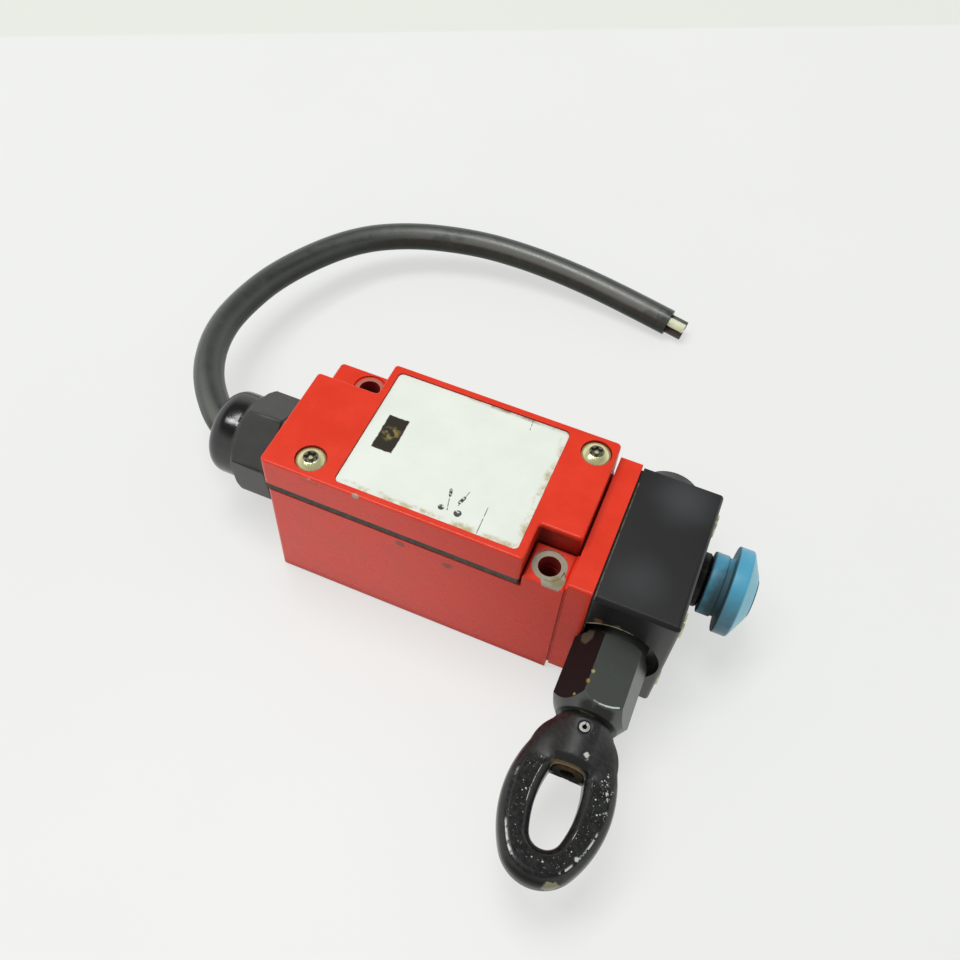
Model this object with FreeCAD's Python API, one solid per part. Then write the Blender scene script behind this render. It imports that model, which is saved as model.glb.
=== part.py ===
import FreeCAD, Part
import math
import os

# Rope pull switch: die-cast housing with contact block, head with sprung pull eye, latch reset knob,
# cable gland and cut cable. Millimetres, +Z up out of the cover. The origin is the centre of the
# mounting hole pattern, on the mounting face. The head is at +X and the rope pulls towards -Y.

V = FreeCAD.Vector

# General fits
running_fit = 0.06
seat_fit = 0.05
flat_gap = 0.05
free_gap = 0.35
hole_clearance = 0.3
thread_runout = 0.3
past = 1.0
edge_break = 0.5
round_steps = 3
coil_steps = 12

# Mounting pattern
hole_pitch_x = 60.0
hole_pitch_y = 30.0
mounting_hole_d = 5.3
spotface_d = 8.3
spotface_depth = 0.4

# Housing
gland_end_margin = 10.3
head_end_margin = 5.1
body_width = 40.0
body_height = 35.2
body_wall = 3.0
body_floor = 3.0
head_wall = 1.8
ear_height = 5.0
ear_reach_x = 4.8
ear_reach_y = 5.1
body_corner_r = 1.0
body_edge = 0.5
notch_r = 2.5
notch_shift_x = 1.9
notch_shift_y = 1.9
notch_depth = 0.9
hole_rim = 0.9
flange_thickness = 6.3
flange_inset = 0.35
flange_bottom = 2.0
flange_rise = 7.4
flange_edge_r = 0.6
groove_width = 0.65
groove_depth = 0.5
conduit_d = 20.0
conduit_z = 22.2
conduit_boss_wall = 2.6
conduit_boss_depth = 4.0

# Cover, gasket and label
cover_overhang = 0.7
cover_to_flange = 0.65
cover_bottom_gap = 2.4
cover_height = 9.1
cover_wall = 2.6
cover_roof = 2.8
cover_corner_r = 1.2
cover_notch_r = 0.9
cover_edge_r = 0.5
ear_clearance = 0.45
gasket_inset = 0.2
gasket_width = 2.4
label_length = 45.2
label_width = 36.1
label_corner_r = 1.3
label_recess = 0.9
label_thickness = 0.5
label_margin = 0.12
cover_screw_shift = 0.2
cover_screw_from_side = 5.2
cover_screw_d = 4.0
cover_screw_length = 15.0
cover_screw_head_d = 7.1
cover_screw_head_h = 2.3
cover_screw_rim_h = 0.8
cover_screw_pocket_d = 7.6
cover_screw_pocket_depth = 1.1
cover_post_r = 4.2
cover_boss_r = 5.2
recess_r = 1.6
recess_depth = 1.1

# Head casting
head_gasket_thickness = 0.5
head_gasket_inset = 0.8
head_length = 20.1
head_side_inset = 0.25
head_bottom_inset = 1.3
head_top_inset = 0.9
head_edge_r = 1.0
pull_from_head_face = 12.3
pull_z = 21.4
front_recess_r = 11.3
front_recess_depth = 3.75
head_spigot_r = 8.0
head_spigot_length = 7.0
head_screw_from_side = 5.25
head_screw_from_end = 6.2
head_screw_d = 4.0
head_screw_grip = 4.4
head_screw_head_d = 5.8
head_screw_head_h = 2.4
head_screw_proud = 0.6
slot_width = 1.0
slot_depth = 1.0

# Pull bushing, shaft and eye
pull_travel = 8.0
bushing_thread_r = 7.5
bushing_thread_length = 5.5
bushing_af = 16.4
bushing_turn = -13.0
bushing_flat_length = 19.7
bushing_face_gap = 0.2
bushing_neck_r = 8.0
bushing_chamfer = 0.9
bushing_nose_length = 3.3
bushing_nose_r = 7.2
bushing_end_wall = 3.0
bushing_bore_r = 5.75
wiper_r = 5.9
wiper_length = 1.5
shaft_r = 4.0
collar_r = 5.25
collar_length = 2.5
collar_inset = 0.6
waist_r = 2.75
cone_slope = 0.3125
cone_extra = 0.8
latch_land = 4.2
tail_r = 3.0
tail_length = 10.6
centre_mark_r = 1.8
centre_mark_depth = 2.6
head_bore_r = 5.95
seat_washer_length = 1.1
seat_washer_r = 5.4
pull_spring_wire = 1.0
pull_spring_mean_r = 4.88
pull_spring_turns = 8.0
eye_gap = 0.4
eye_half_width = 12.15
eye_half_length = 18.65
eye_thickness = 8.4
eye_end_r = 9.6
eye_outer_round = 2.9
eye_inner_round = 1.6
eye_opening_half_width = 4.6
eye_opening_half_length = 10.4
eye_opening_shift = 0.8
eye_opening_end_r = 3.6
eye_shoulder_r = 10.2
eye_shoulder_drop = 9.2
eye_hub_r = 7.2
eye_hub_length = 12.2
eye_hub_taper = 0.8
eye_hub_round = 1.4
roll_pin_d = 2.4
roll_pin_bore_d = 1.1
roll_pin_slit = 0.15
roll_pin_from_end = 3.4
roll_pin_fit = 0.02
roll_pin_inset = 0.3

# Rear cap of the head
cap_r = 12.0
cap_rim_height = 3.5
cap_boss_r = 7.6
cap_height = 11.75
cap_round = 0.9
cap_thread_r = 7.5
cap_slot_width = 2.2
cap_slot_depth = 1.6
cap_seal_r = 10.4
cap_seal_bore_r = 8.2
cap_seal_thickness = 1.2

# Plunger
plunger_r = 2.5
plunger_flat_r = 0.5
plunger_length = 15.2
plunger_clearance = 0.05

# Latch and reset knob
reset_y = 7.9
reset_rod_r = 2.0
rod_tip_gap = 0.35
rod_tip_chamfer = 0.6
rod_collar_r = 3.4
rod_collar_length = 1.0
rod_collar_from_tip = 1.5
reset_bush_r = 7.0
reset_bush_flange = 3.0
reset_bush_thread_r = 5.0
reset_bush_depth = 5.4
reset_bush_end_wall = 2.6
reset_pocket_r = 3.8
reset_spring_wire = 0.45
reset_spring_mean_r = 2.9
reset_spring_turns = 3.0
knob_gap = 0.3
knob_collar_r = 8.0
knob_collar_length = 3.6
knob_neck_r = 7.6
knob_neck_length = 1.4
knob_cap_r = 11.2
knob_rim_length = 3.8
knob_cone_length = 2.9
knob_cone_front_r = 5.6
knob_edge_r = 0.4
knob_disc_r = 4.8
knob_disc_thickness = 0.8
knob_disc_proud = 0.3
rod_in_knob = 9.0

# Contact block
block_length = 42.0
block_width = 27.0
block_x = 1.0
block_corner_r = 1.0
block_foot_gap = 2.0
lug_length = 7.2
lug_width = 9.0
lug_height = 3.2
block_screw_d = 3.5
block_screw_head_d = 6.4
block_screw_head_h = 2.0
block_screw_bite = 3.4
channel_half_width = 5.3
channel_half_height = 4.4
channel_end_wall = 2.0
rail_margin = 1.4
lid_thickness = 1.0
lid_overlap = 1.0
lid_margin = 1.0
carrier_side_gap = 0.25
carrier_length = 32.0
carrier_stem_r = 3.0
carrier_spigot_r = 1.9
carrier_spigot_length = 3.0
carrier_spring_wire = 0.7
carrier_spring_mean_r = 2.9
carrier_spring_turns = 4.5
bridge_thickness = 0.8
bridge_half_length = 10.45
bridge_height = 3.2
bridge_drop = 0.35
tip_r = 1.2
tip_height = 0.5
tip_y = 9.1
closed_bridge_x = 6.0
open_bridge_x = -4.4
window_length = 4.0
leaf_thickness = 0.3
leaf_bow = 2.2
leaf_inset_y = 1.2
leaf_inset_z = 0.3
contact_tab_thickness = 1.2
contact_tab_width = 3.4
contact_strip_thickness = 1.2
contact_strip_width = 6.6
contact_strip_length = 9.6
slot_clearance = 0.35
terminal_screw_d = 3.0
terminal_screw_head_d = 5.6
terminal_screw_head_h = 2.0
terminal_screw_bite = 5.0
terminal_from_end = 3.6
clamp_side = 6.0
clamp_thickness = 1.0
clamp_opening = 1.8
clamp_leg = 0.9

# Earth terminal
earth_from_end = 6.1
earth_y = -3.0
earth_boss_r = 3.6
earth_boss_height = 1.5
earth_clamp_side = 5.0

# Cable gland and cable
gland_washer_thickness = 1.4
gland_washer_r = 11.4
gland_af = 24.0
gland_turn = 5.0
gland_flange_length = 4.8
gland_hex_gap = 0.2
gland_nut_hex_length = 10.3
gland_dome_length = 9.0
gland_dome_r = 11.3
gland_dome_round = 4.3
gland_neck_r = 10.9
gland_neck_length = 1.6
gland_dome_edge = 0.6
gland_chamfer = 1.2
gland_spigot_length = 7.0
gland_nose_r = 9.4
gland_nose_length = 7.0
gland_bore_clearance = 0.9
gland_seal_r = 7.4
gland_seal_length = 12.2
gland_seal_chamfer = 1.4
gland_mouth_r = 6.9
gland_mouth_depth = 2.0
gland_throat_clearance = 0.5
cable_d = 8.5
core_d = 2.5
core_pitch_r = 1.75
core_turn = 56.0
core_stub_length = 5.6
bare_wire_d = 1.4
lead_lift = 0.15
lead_end_gap = 1.1
lead_straight = 4.0
lane_y = 3.3
earth_drop = 4.5

# Cable route from inside the gland to the cut end, chosen by eye
cable_route = [
    V(-60.2, 0.0, 22.2),
    V(-64.4, 0.0, 22.2),
    V(-69.9, 2.4, 22.0),
    V(-80.7, 13.8, 21.2),
    V(-87.2, 28.1, 19.6),
    V(-89.3, 42.9, 17.7),
    V(-86.4, 64.0, 15.9),
    V(-74.5, 88.3, 14.0),
    V(-59.3, 101.4, 12.3),
    V(-39.1, 109.4, 10.6),
    V(-21.7, 112.0, 9.1),
    V(-3.7, 112.2, 7.5),
    V(14.3, 110.6, 5.9),
    V(30.8, 108.3, 4.35),
]

# Places worked out from the sizes above
mount_x = hole_pitch_x / 2
mount_y = hole_pitch_y / 2
body_x0 = -mount_x - gland_end_margin
body_x1 = mount_x + head_end_margin
half_body = body_width / 2
cavity_x0 = body_x0 + body_wall
cavity_x1 = body_x1 - head_wall
half_cavity = half_body - body_wall
ear_top = body_height + ear_height
flange_x1 = body_x1 + flange_thickness
flange_top = body_height + flange_rise
half_flange = half_body - flange_inset
cover_x0 = body_x0 - cover_overhang
cover_x1 = body_x1 + groove_width - cover_to_flange
cover_z0 = body_height + cover_bottom_gap
cover_z1 = cover_z0 + cover_height
screw_x = mount_x + cover_screw_shift
screw_y = half_body - cover_screw_from_side
head_x0 = flange_x1 + head_gasket_thickness
head_x1 = head_x0 + head_length
half_head = half_body - head_side_inset
head_bottom = flange_bottom + head_bottom_inset
head_top = flange_top - head_top_inset
pull_x = head_x1 - pull_from_head_face
recess_floor_y = -half_head + front_recess_depth
hex_start_y = -half_head - bushing_face_gap
bushing_inner_y = recess_floor_y + bushing_thread_length
bushing_flat_end_y = recess_floor_y - bushing_flat_length
bushing_end_y = bushing_flat_end_y - bushing_nose_length
bushing_floor_y = bushing_end_y + bushing_end_wall
collar_front_y = bushing_inner_y - collar_inset - collar_length
collar_back_y = collar_front_y + collar_length
cone_length = pull_travel + cone_extra
cone_top_r = waist_r + cone_slope * cone_length
tail_y = cone_length + latch_land
cap_inner_y = tail_y + free_gap
tail_end_y = tail_y + tail_length
eye_end_y = bushing_end_y - eye_gap
hub_end_y = eye_end_y - eye_hub_length
eye_mid_y = eye_end_y - eye_half_length
pin_y = eye_end_y - roll_pin_from_end
nose_round = plunger_r - plunger_flat_r
nose_lead = cone_slope * plunger_flat_r + nose_round * (math.hypot(1, cone_slope) - 1)
nose_reach = waist_r + nose_lead + plunger_clearance
plunger_tip_x = pull_x - nose_reach
plunger_end_x = plunger_tip_x - plunger_length
plunger_travel = cone_slope * pull_travel
rod_tip_x = pull_x + cone_top_r + rod_tip_gap
rod_collar_x0 = rod_tip_x + rod_collar_from_tip
rod_collar_x1 = rod_collar_x0 + rod_collar_length
bush_front_x = head_x1 + reset_bush_flange
bush_inner_x = head_x1 - reset_bush_depth
bush_pocket_x = bush_front_x - reset_bush_end_wall
knob_x0 = bush_front_x + knob_gap
knob_neck_x0 = knob_x0 + knob_collar_length
knob_cap_x0 = knob_neck_x0 + knob_neck_length
knob_rim_x1 = knob_cap_x0 + knob_rim_length
knob_x1 = knob_rim_x1 + knob_cone_length
rod_end_x = knob_x0 + rod_in_knob
block_z0 = body_floor + block_foot_gap
channel_z0 = pull_z - channel_half_height
block_top = pull_z + channel_half_height + carrier_side_gap
block_x0 = block_x - block_length / 2
block_x1 = block_x + block_length / 2
half_block = block_width / 2
bridge_z = pull_z - bridge_drop
channel_x0 = block_x0 + channel_end_wall
carrier_top_x = plunger_end_x - 2 * flat_gap
carrier_x1 = block_x1 - carrier_side_gap
carrier_x0 = carrier_x1 - carrier_length
rail_mid_y = channel_half_width + rail_margin + contact_strip_width / 2
gland_flange_x0 = body_x0 - gland_washer_thickness - gland_flange_length
gland_nut_x1 = gland_flange_x0 - gland_hex_gap
gland_hex_end_x = gland_nut_x1 - gland_nut_hex_length
gland_mouth_x = gland_hex_end_x - gland_dome_length
gland_spigot_x1 = body_x0 + gland_spigot_length
gland_nose_x0 = gland_nut_x1 - gland_nose_length
cable_r = cable_d / 2
seal_x0 = cable_route[0].x
seal_x1 = seal_x0 + gland_seal_length
lead_x = cavity_x0 + conduit_boss_depth
earth_x = cavity_x0 + earth_from_end
earth_top = body_floor + earth_boss_height


# Shape helpers
def box(x0, x1, y0, y1, z0, z1):
    return Part.makeBox(x1 - x0, y1 - y0, z1 - z0, V(x0, y0, z0))


def round_x(y, z, r, x0, x1):
    return Part.makeCylinder(r, x1 - x0, V(x0, y, z), V(1, 0, 0))


def round_y(x, z, r, y0, y1):
    return Part.makeCylinder(r, y1 - y0, V(x, y0, z), V(0, 1, 0))


def round_z(x, y, r, z0, z1):
    return Part.makeCylinder(r, z1 - z0, V(x, y, z0), V(0, 0, 1))


def prism(points, direction):
    return Part.Face(Part.makePolygon(points + [points[0]])).extrude(direction)


def hex_x(y, z, across_flats, turn, x0, x1):
    corner_r = across_flats / math.sqrt(3)
    angles = [math.radians(turn + 90 + 60 * k) for k in range(6)]
    points = [V(x0, y + corner_r * math.cos(a), z + corner_r * math.sin(a)) for a in angles]
    return prism(points, V(x1 - x0, 0, 0))


def hex_y(x, z, across_flats, turn, y0, y1):
    corner_r = across_flats / math.sqrt(3)
    angles = [math.radians(turn + 60 * k) for k in range(6)]
    points = [V(x + corner_r * math.cos(a), y0, z + corner_r * math.sin(a)) for a in angles]
    return prism(points, V(0, y1 - y0, 0))


def turned_x(profile, y, z):
    """Revolve (x, radius) points, closed along the axis, about a line along X."""
    points = [V(x, y, z + r) for x, r in profile]
    points += [V(profile[-1][0], y, z), V(profile[0][0], y, z)]
    return Part.Face(Part.makePolygon(points + [points[0]])).revolve(V(0, y, z), V(1, 0, 0), 360)


def turned_y(profile, x, z):
    """Revolve (y, radius) points, closed along the axis, about a line along Y."""
    points = [V(x, y, z + r) for y, r in profile]
    points += [V(x, profile[-1][0], z), V(x, profile[0][0], z)]
    return Part.Face(Part.makePolygon(points + [points[0]])).revolve(V(x, 0, z), V(0, 1, 0), 360)


def edges(shape, wanted):
    return [edge for edge in shape.Edges if wanted(edge)]


def along(edge, axis):
    """True for a straight edge parallel to the axis letter."""
    if not isinstance(edge.Curve, (Part.Line, Part.LineSegment)):
        return False
    direction = (edge.lastVertex().Point - edge.firstVertex().Point).normalize()
    return abs(getattr(direction, axis)) > 0.999


def flat_at(edge, axis, value):
    """True for an edge that lies in the plane axis = value."""
    low = getattr(edge.BoundBox, axis.upper() + "Min")
    high = getattr(edge.BoundBox, axis.upper() + "Max")
    return abs(low - value) < 0.001 and abs(high - value) < 0.001


def upright_edges(shape):
    return edges(shape, lambda edge: along(edge, "z"))


def coil(mean_r, wire, turns, length):
    """Compression spring of the given overall length, standing on the XY plane, with a four-sided wire."""
    rise = length - wire
    steps = round(turns * coil_steps)
    half = wire / 2
    rings = []
    for k in range(steps + 1):
        angle = 2 * math.pi * k / coil_steps
        outward = V(math.cos(angle), math.sin(angle), 0)
        centre = outward * mean_r + V(0, 0, half + rise * k / steps)
        sideways = outward * half
        upward = V(0, 0, half)
        rings.append([centre + sideways, centre + upward, centre - sideways, centre - upward])
    triangles = [(ring[0], ring[1], ring[2]) for ring in (rings[0], rings[-1])]
    triangles += [(ring[0], ring[2], ring[3]) for ring in (rings[0], rings[-1])]
    for ring, following in zip(rings, rings[1:]):
        for side in range(4):
            beside = (side + 1) % 4
            triangles.append((ring[side], ring[beside], following[side]))
            triangles.append((ring[beside], following[beside], following[side]))
    faces = [Part.Face(Part.makePolygon([a, b, c, a])) for a, b, c in triangles]
    shell = Part.makeShell(faces)
    shell.sewShape()
    spring = Part.makeSolid(Part.Shell(shell.Faces))
    if spring.Volume < 0:
        spring.reverse()
    return spring


def tube(points, section):
    """Section swept along straight runs joined by tangent arcs, with the path's length and its arc radii."""
    path = []
    radii = []
    start = points[0]
    for before, corner, after in zip(points, points[1:], points[2:]):
        back = (before - corner).normalize()
        ahead = (after - corner).normalize()
        turn = math.pi - back.getAngle(ahead)
        setback = 0.45 * min((corner - before).Length, (after - corner).Length)
        radius = setback / math.tan(turn / 2)
        arc_start = corner + back * setback
        arc_end = corner + ahead * setback
        inward = (back + ahead).normalize()
        arc_mid = corner + inward * (radius / math.cos(turn / 2) - radius)
        path.append(Part.LineSegment(start, arc_start).toShape())
        path.append(Part.Arc(arc_start, arc_mid, arc_end).toShape())
        radii.append(radius)
        start = arc_end
    path.append(Part.LineSegment(start, points[-1]).toShape())
    wire = Part.Wire(path)
    return wire.makePipeShell([section], True, False), wire.Length, radii


def quarter_round(end, r, size):
    """(place, radius) points of a rounded edge, from the side of a turned piece to its end face."""
    points = []
    for k in range(round_steps + 1):
        angle = math.pi / 2 * k / round_steps
        points.append((end - size * (1 - math.sin(angle)), r - size * (1 - math.cos(angle))))
    return points


def domed_head(head_d, head_h, rim_h):
    """Button head standing on the XY plane."""
    head_r = head_d / 2
    crown = head_h - rim_h
    ball_r = (head_r ** 2 + crown ** 2) / (2 * crown)
    ball = Part.makeSphere(ball_r, V(0, 0, head_h - ball_r))
    return round_z(0, 0, head_r, 0, head_h).common(ball)


def slotted_screw(shank_d, head_d, head_h, length):
    """Cheese head screw along -Z with a driver slot."""
    head = round_z(0, 0, head_d / 2, 0, head_h)
    slot = box(-head_d, head_d, -slot_width / 2, slot_width / 2, head_h - slot_depth, head_h + past)
    return head.fuse(round_z(0, 0, shank_d / 2, -length, 0)).removeSplitter().cut(slot)


def moved(shape, place, turn_axis=None, turn=0):
    copy = shape.copy()
    if turn_axis is not None:
        copy.rotate(V(0, 0, 0), turn_axis, turn)
    copy.translate(place)
    return copy


def to_x(shape, place):
    """Turn a shape built along +Z to point along +X, then place it."""
    return moved(shape, place, V(0, 1, 0), 90)


# Mounting ears stand at the two corners of the hole pattern, the cover screws at the other two
def ear_zone(z0, z1):
    gland_ear = box(body_x0, -mount_x + ear_reach_x, mount_y - ear_reach_y, half_body, z0, z1)
    head_ear = box(mount_x - ear_reach_x, body_x1, -half_body, -mount_y + ear_reach_y, z0, z1)
    return gland_ear, head_ear


def notched_plan(inset, z0, z1):
    """Cover outline, a rectangle with two corners cut away for the ears, as a plate."""
    x0 = cover_x0 + inset
    x1 = cover_x1 - inset
    half = half_body - inset
    ear_x = mount_x - ear_reach_x - ear_clearance - inset
    ear_y = mount_y - ear_reach_y - ear_clearance - inset
    corners = [(x0, -half), (ear_x, -half), (ear_x, -ear_y), (x1, -ear_y)]
    corners += [(x1, half), (-ear_x, half), (-ear_x, ear_y), (x0, ear_y)]
    return prism([V(x, y, z0) for x, y in corners], V(0, 0, z1 - z0))


def rounded_plan(inset, z0, z1):
    """The cover outline with its two whole corners and its two notched corners rounded."""
    plan = notched_plan(inset, z0, z1)
    whole = [edge for edge in upright_edges(plan) if edge.CenterOfMass.x * edge.CenterOfMass.y > 0]
    plan = plan.makeFillet(cover_corner_r - inset, whole)
    notched = [edge for edge in upright_edges(plan) if edge.CenterOfMass.x * edge.CenterOfMass.y < 0]
    return plan.makeFillet(cover_notch_r, notched)


cover_screw_places = [(-screw_x, -screw_y), (screw_x, screw_y)]
mounting_places = [(-mount_x, mount_y), (mount_x, -mount_y)]
head_screw_places = []
for side in (-1, 1):
    for z in (head_bottom + head_screw_from_end, head_top - head_screw_from_end):
        head_screw_places.append((side * (half_head - head_screw_from_side), z))
lug_places = [block_x0 - lug_length / 2, block_x1 + lug_length / 2]
block_screw_length = lug_height + block_screw_bite


def make_housing():
    block = box(body_x0, body_x1, -half_body, half_body, 0, body_height)
    gland_ear, head_ear = ear_zone(0, ear_top)
    shell = block.fuse([gland_ear, head_ear]).removeSplitter()
    end_edges = edges(shell, lambda edge: along(edge, "z") and abs(edge.CenterOfMass.x - body_x0) < 0.01)
    outer_edges = [edge for edge in end_edges if abs(abs(edge.CenterOfMass.y) - half_body) < 0.01]
    shell = shell.makeFillet(body_corner_r, outer_edges)
    shell = shell.makeChamfer(body_edge, edges(shell, lambda edge: flat_at(edge, "z", 0)))
    shell = shell.makeChamfer(body_edge, edges(shell, lambda edge: flat_at(edge, "z", ear_top)))

    cavity = box(cavity_x0, cavity_x1, -half_cavity, half_cavity, body_floor, body_height + past)
    cavity = cavity.makeFillet(body_corner_r, upright_edges(cavity))
    posts = [round_z(x, y, cover_post_r, body_floor, body_height) for x, y in cover_screw_places]
    columns = list(ear_zone(body_floor, body_height))
    boss_r = conduit_d / 2 + conduit_boss_wall
    conduit_boss = round_x(0, conduit_z, boss_r, cavity_x0 - past, cavity_x0 + conduit_boss_depth)
    feet = [round_z(x, 0, lug_width / 2, body_floor - past, block_z0) for x in lug_places]
    earth_boss = round_z(earth_x, earth_y, earth_boss_r, body_floor - past, earth_top)
    shell = shell.cut(cavity.cut(posts + columns + [conduit_boss, earth_boss] + feet))

    neck_half = half_flange - groove_depth
    neck_bottom = flange_bottom + groove_depth
    flange_x0 = body_x1 + groove_width
    neck = box(body_x1, flange_x0, -neck_half, neck_half, neck_bottom, body_height)
    ear_neck = box(body_x1, flange_x0, -neck_half, -mount_y + ear_reach_y, neck_bottom, ear_top)
    flange = box(flange_x0, flange_x1, -half_flange, half_flange, flange_bottom, flange_top)
    flange = flange.makeFillet(flange_edge_r, edges(flange, lambda edge: along(edge, "x")))
    shell = shell.fuse([neck, ear_neck, flange]).removeSplitter()

    spigot_hole = round_x(0, pull_z, head_spigot_r + seat_fit, cavity_x1 - past, flange_x1 + past)
    conduit = round_x(0, conduit_z, conduit_d / 2, body_x0 - past, cavity_x0 + conduit_boss_depth + past)
    cuts = [spigot_hole, conduit]
    for x, y in mounting_places:
        cuts.append(round_z(x, y, mounting_hole_d / 2, -past, ear_top + past))
        cuts.append(round_z(x, y, spotface_d / 2, ear_top - spotface_depth, ear_top + past))
    notch_z = ear_top - notch_depth
    notch = round_z(mount_x + notch_shift_x, -mount_y - notch_shift_y, notch_r, notch_z, ear_top + past)
    cuts.append(notch.cut(round_z(mount_x, -mount_y, mounting_hole_d / 2 + hole_rim, 0, ear_top + 2 * past)))
    for x, y in cover_screw_places:
        bite = cover_z1 - cover_screw_pocket_depth - cover_screw_length - thread_runout
        cuts.append(round_z(x, y, cover_screw_d / 2 + seat_fit, bite, body_height + past))
    screw_end = flange_x1 - head_screw_grip - thread_runout
    for y, z in head_screw_places:
        cuts.append(round_x(y, z, head_screw_d / 2 + seat_fit, screw_end, flange_x1 + past))
    thread_depth = block_screw_bite + thread_runout
    thread_r = block_screw_d / 2 + seat_fit
    for x in lug_places:
        cuts.append(round_z(x, 0, thread_r, block_z0 - thread_depth, block_z0 + past))
    cuts.append(round_z(earth_x, earth_y, thread_r, earth_top - thread_depth, earth_top + past))
    return shell.cut(cuts)


def make_cover_gasket():
    plate = rounded_plan(gasket_inset, body_height + flat_gap, cover_z0 - flat_gap)
    opening = notched_plan(gasket_inset + gasket_width, body_height, cover_z0)
    pads = [round_z(x, y, cover_post_r, body_height, cover_z0) for x, y in cover_screw_places]
    hole_r = cover_screw_d / 2 + hole_clearance
    holes = [round_z(x, y, hole_r, body_height, cover_z0) for x, y in cover_screw_places]
    return plate.cut(opening.cut(pads)).cut(holes)


def label_outline(grow, z0, z1):
    half_x = label_length / 2 + grow
    half_y = label_width / 2 + grow
    plate = box(-half_x, half_x, -half_y, half_y, z0, z1)
    return plate.makeFillet(label_corner_r + grow, upright_edges(plate))


def make_cover():
    cover = rounded_plan(0, cover_z0, cover_z1)
    cover = cover.makeFillet(cover_edge_r, edges(cover, lambda edge: flat_at(edge, "z", cover_z1)))
    hollow = notched_plan(cover_wall, cover_z0 - past, cover_z1 - cover_roof)
    bosses = [round_z(x, y, cover_boss_r, cover_z0, cover_z1) for x, y in cover_screw_places]
    cover = cover.cut(hollow.cut(bosses))
    cuts = [label_outline(label_margin, cover_z1 - label_recess, cover_z1 + past)]
    for x, y in cover_screw_places:
        cuts.append(round_z(x, y, cover_screw_d / 2 + hole_clearance, cover_z0 - past, cover_z1 + past))
        pocket_z = cover_z1 - cover_screw_pocket_depth
        cuts.append(round_z(x, y, cover_screw_pocket_d / 2, pocket_z, cover_z1 + past))
    return cover.cut(cuts)


def make_cover_screws():
    head = domed_head(cover_screw_head_d, cover_screw_head_h, cover_screw_rim_h)
    screw = head.fuse(round_z(0, 0, cover_screw_d / 2, -cover_screw_length, 0)).removeSplitter()
    screw = screw.cut(round_z(0, 0, recess_r, cover_screw_head_h - recess_depth, cover_screw_head_h))
    seat_z = cover_z1 - cover_screw_pocket_depth
    return Part.makeCompound([moved(screw, V(x, y, seat_z)) for x, y in cover_screw_places])


def make_label_plate():
    floor_z = cover_z1 - label_recess
    return label_outline(0, floor_z, floor_z + label_thickness)


# Head
def make_head_gasket():
    half = half_head - head_gasket_inset
    bottom = head_bottom + head_gasket_inset
    plate = box(flange_x1, head_x0, -half, half, bottom, head_top - head_gasket_inset)
    cuts = [round_x(0, pull_z, head_spigot_r + free_gap, flange_x1 - past, head_x0 + past)]
    cuts.append(round_y(pull_x, pull_z, bushing_neck_r + free_gap, -half_head, recess_floor_y))
    hole_r = head_screw_d / 2 + hole_clearance
    cuts += [round_x(y, z, hole_r, flange_x1 - past, head_x0 + past) for y, z in head_screw_places]
    return plate.cut(cuts)


def make_head_casting():
    head = box(head_x0, head_x1, -half_head, half_head, head_bottom, head_top)
    head = head.makeFillet(head_edge_r, edges(head, lambda edge: not flat_at(edge, "x", head_x0)))
    spigot = round_x(0, pull_z, head_spigot_r, head_x0 - head_spigot_length, head_x0 + past)
    head = head.fuse(spigot).removeSplitter()
    cuts = [round_y(pull_x, pull_z, front_recess_r, -half_head - past, recess_floor_y)]
    cuts.append(round_y(pull_x, pull_z, bushing_thread_r, recess_floor_y - past, bushing_inner_y))
    cuts.append(round_y(pull_x, pull_z, head_bore_r, bushing_inner_y - past, cap_inner_y + past))
    cuts.append(round_y(pull_x, pull_z, cap_thread_r, cap_inner_y, half_head + past))
    cuts.append(round_x(0, pull_z, plunger_r + running_fit, head_x0 - head_spigot_length - past, pull_x))
    cuts.append(round_x(reset_y, pull_z, reset_bush_thread_r, bush_inner_x - thread_runout, head_x1 + past))
    cuts.append(round_x(reset_y, pull_z, reset_rod_r + free_gap, pull_x, bush_inner_x + past))
    seat_x = head_x1 - head_screw_head_h + head_screw_proud
    for y, z in head_screw_places:
        cuts.append(round_x(y, z, head_screw_d / 2 + hole_clearance, head_x0 - past, head_x1 + past))
        cuts.append(round_x(y, z, head_screw_head_d / 2 + hole_clearance, seat_x, head_x1 + past))
    return head.cut(cuts)


def make_head_screws():
    seat_x = head_x1 - head_screw_head_h + head_screw_proud
    length = seat_x - flange_x1 + head_screw_grip
    screw = slotted_screw(head_screw_d, head_screw_head_d, head_screw_head_h, length)
    return Part.makeCompound([to_x(screw, V(seat_x, y, z)) for y, z in head_screw_places])


def make_rear_cap():
    cap_end = half_head + cap_height
    stud_r = cap_thread_r - seat_fit
    rim_end = half_head + cap_rim_height
    profile = [(cap_inner_y, stud_r), (half_head, stud_r), (half_head, cap_r), (rim_end - edge_break, cap_r)]
    profile += [(rim_end, cap_r - edge_break), (rim_end, cap_boss_r)]
    cap = turned_y(profile + quarter_round(cap_end, cap_boss_r, cap_round), pull_x, pull_z)
    slot = box(-cap_r, cap_r, -cap_slot_depth, past, -cap_slot_width / 2, cap_slot_width / 2)
    slot.translate(V(pull_x, cap_end, pull_z))
    groove = round_y(pull_x, pull_z, cap_seal_r + free_gap, half_head, half_head + cap_seal_thickness)
    groove = groove.cut(round_y(pull_x, pull_z, cap_seal_bore_r - free_gap, half_head, cap_end))
    bore = round_y(pull_x, pull_z, tail_r + running_fit, cap_inner_y - past, tail_end_y + free_gap)
    return cap.cut([slot, groove, bore])


def make_cap_seal():
    ring = round_y(pull_x, pull_z, cap_seal_r, half_head, half_head + cap_seal_thickness)
    return ring.cut(round_y(pull_x, pull_z, cap_seal_bore_r, half_head - past, half_head + cap_height))


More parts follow.
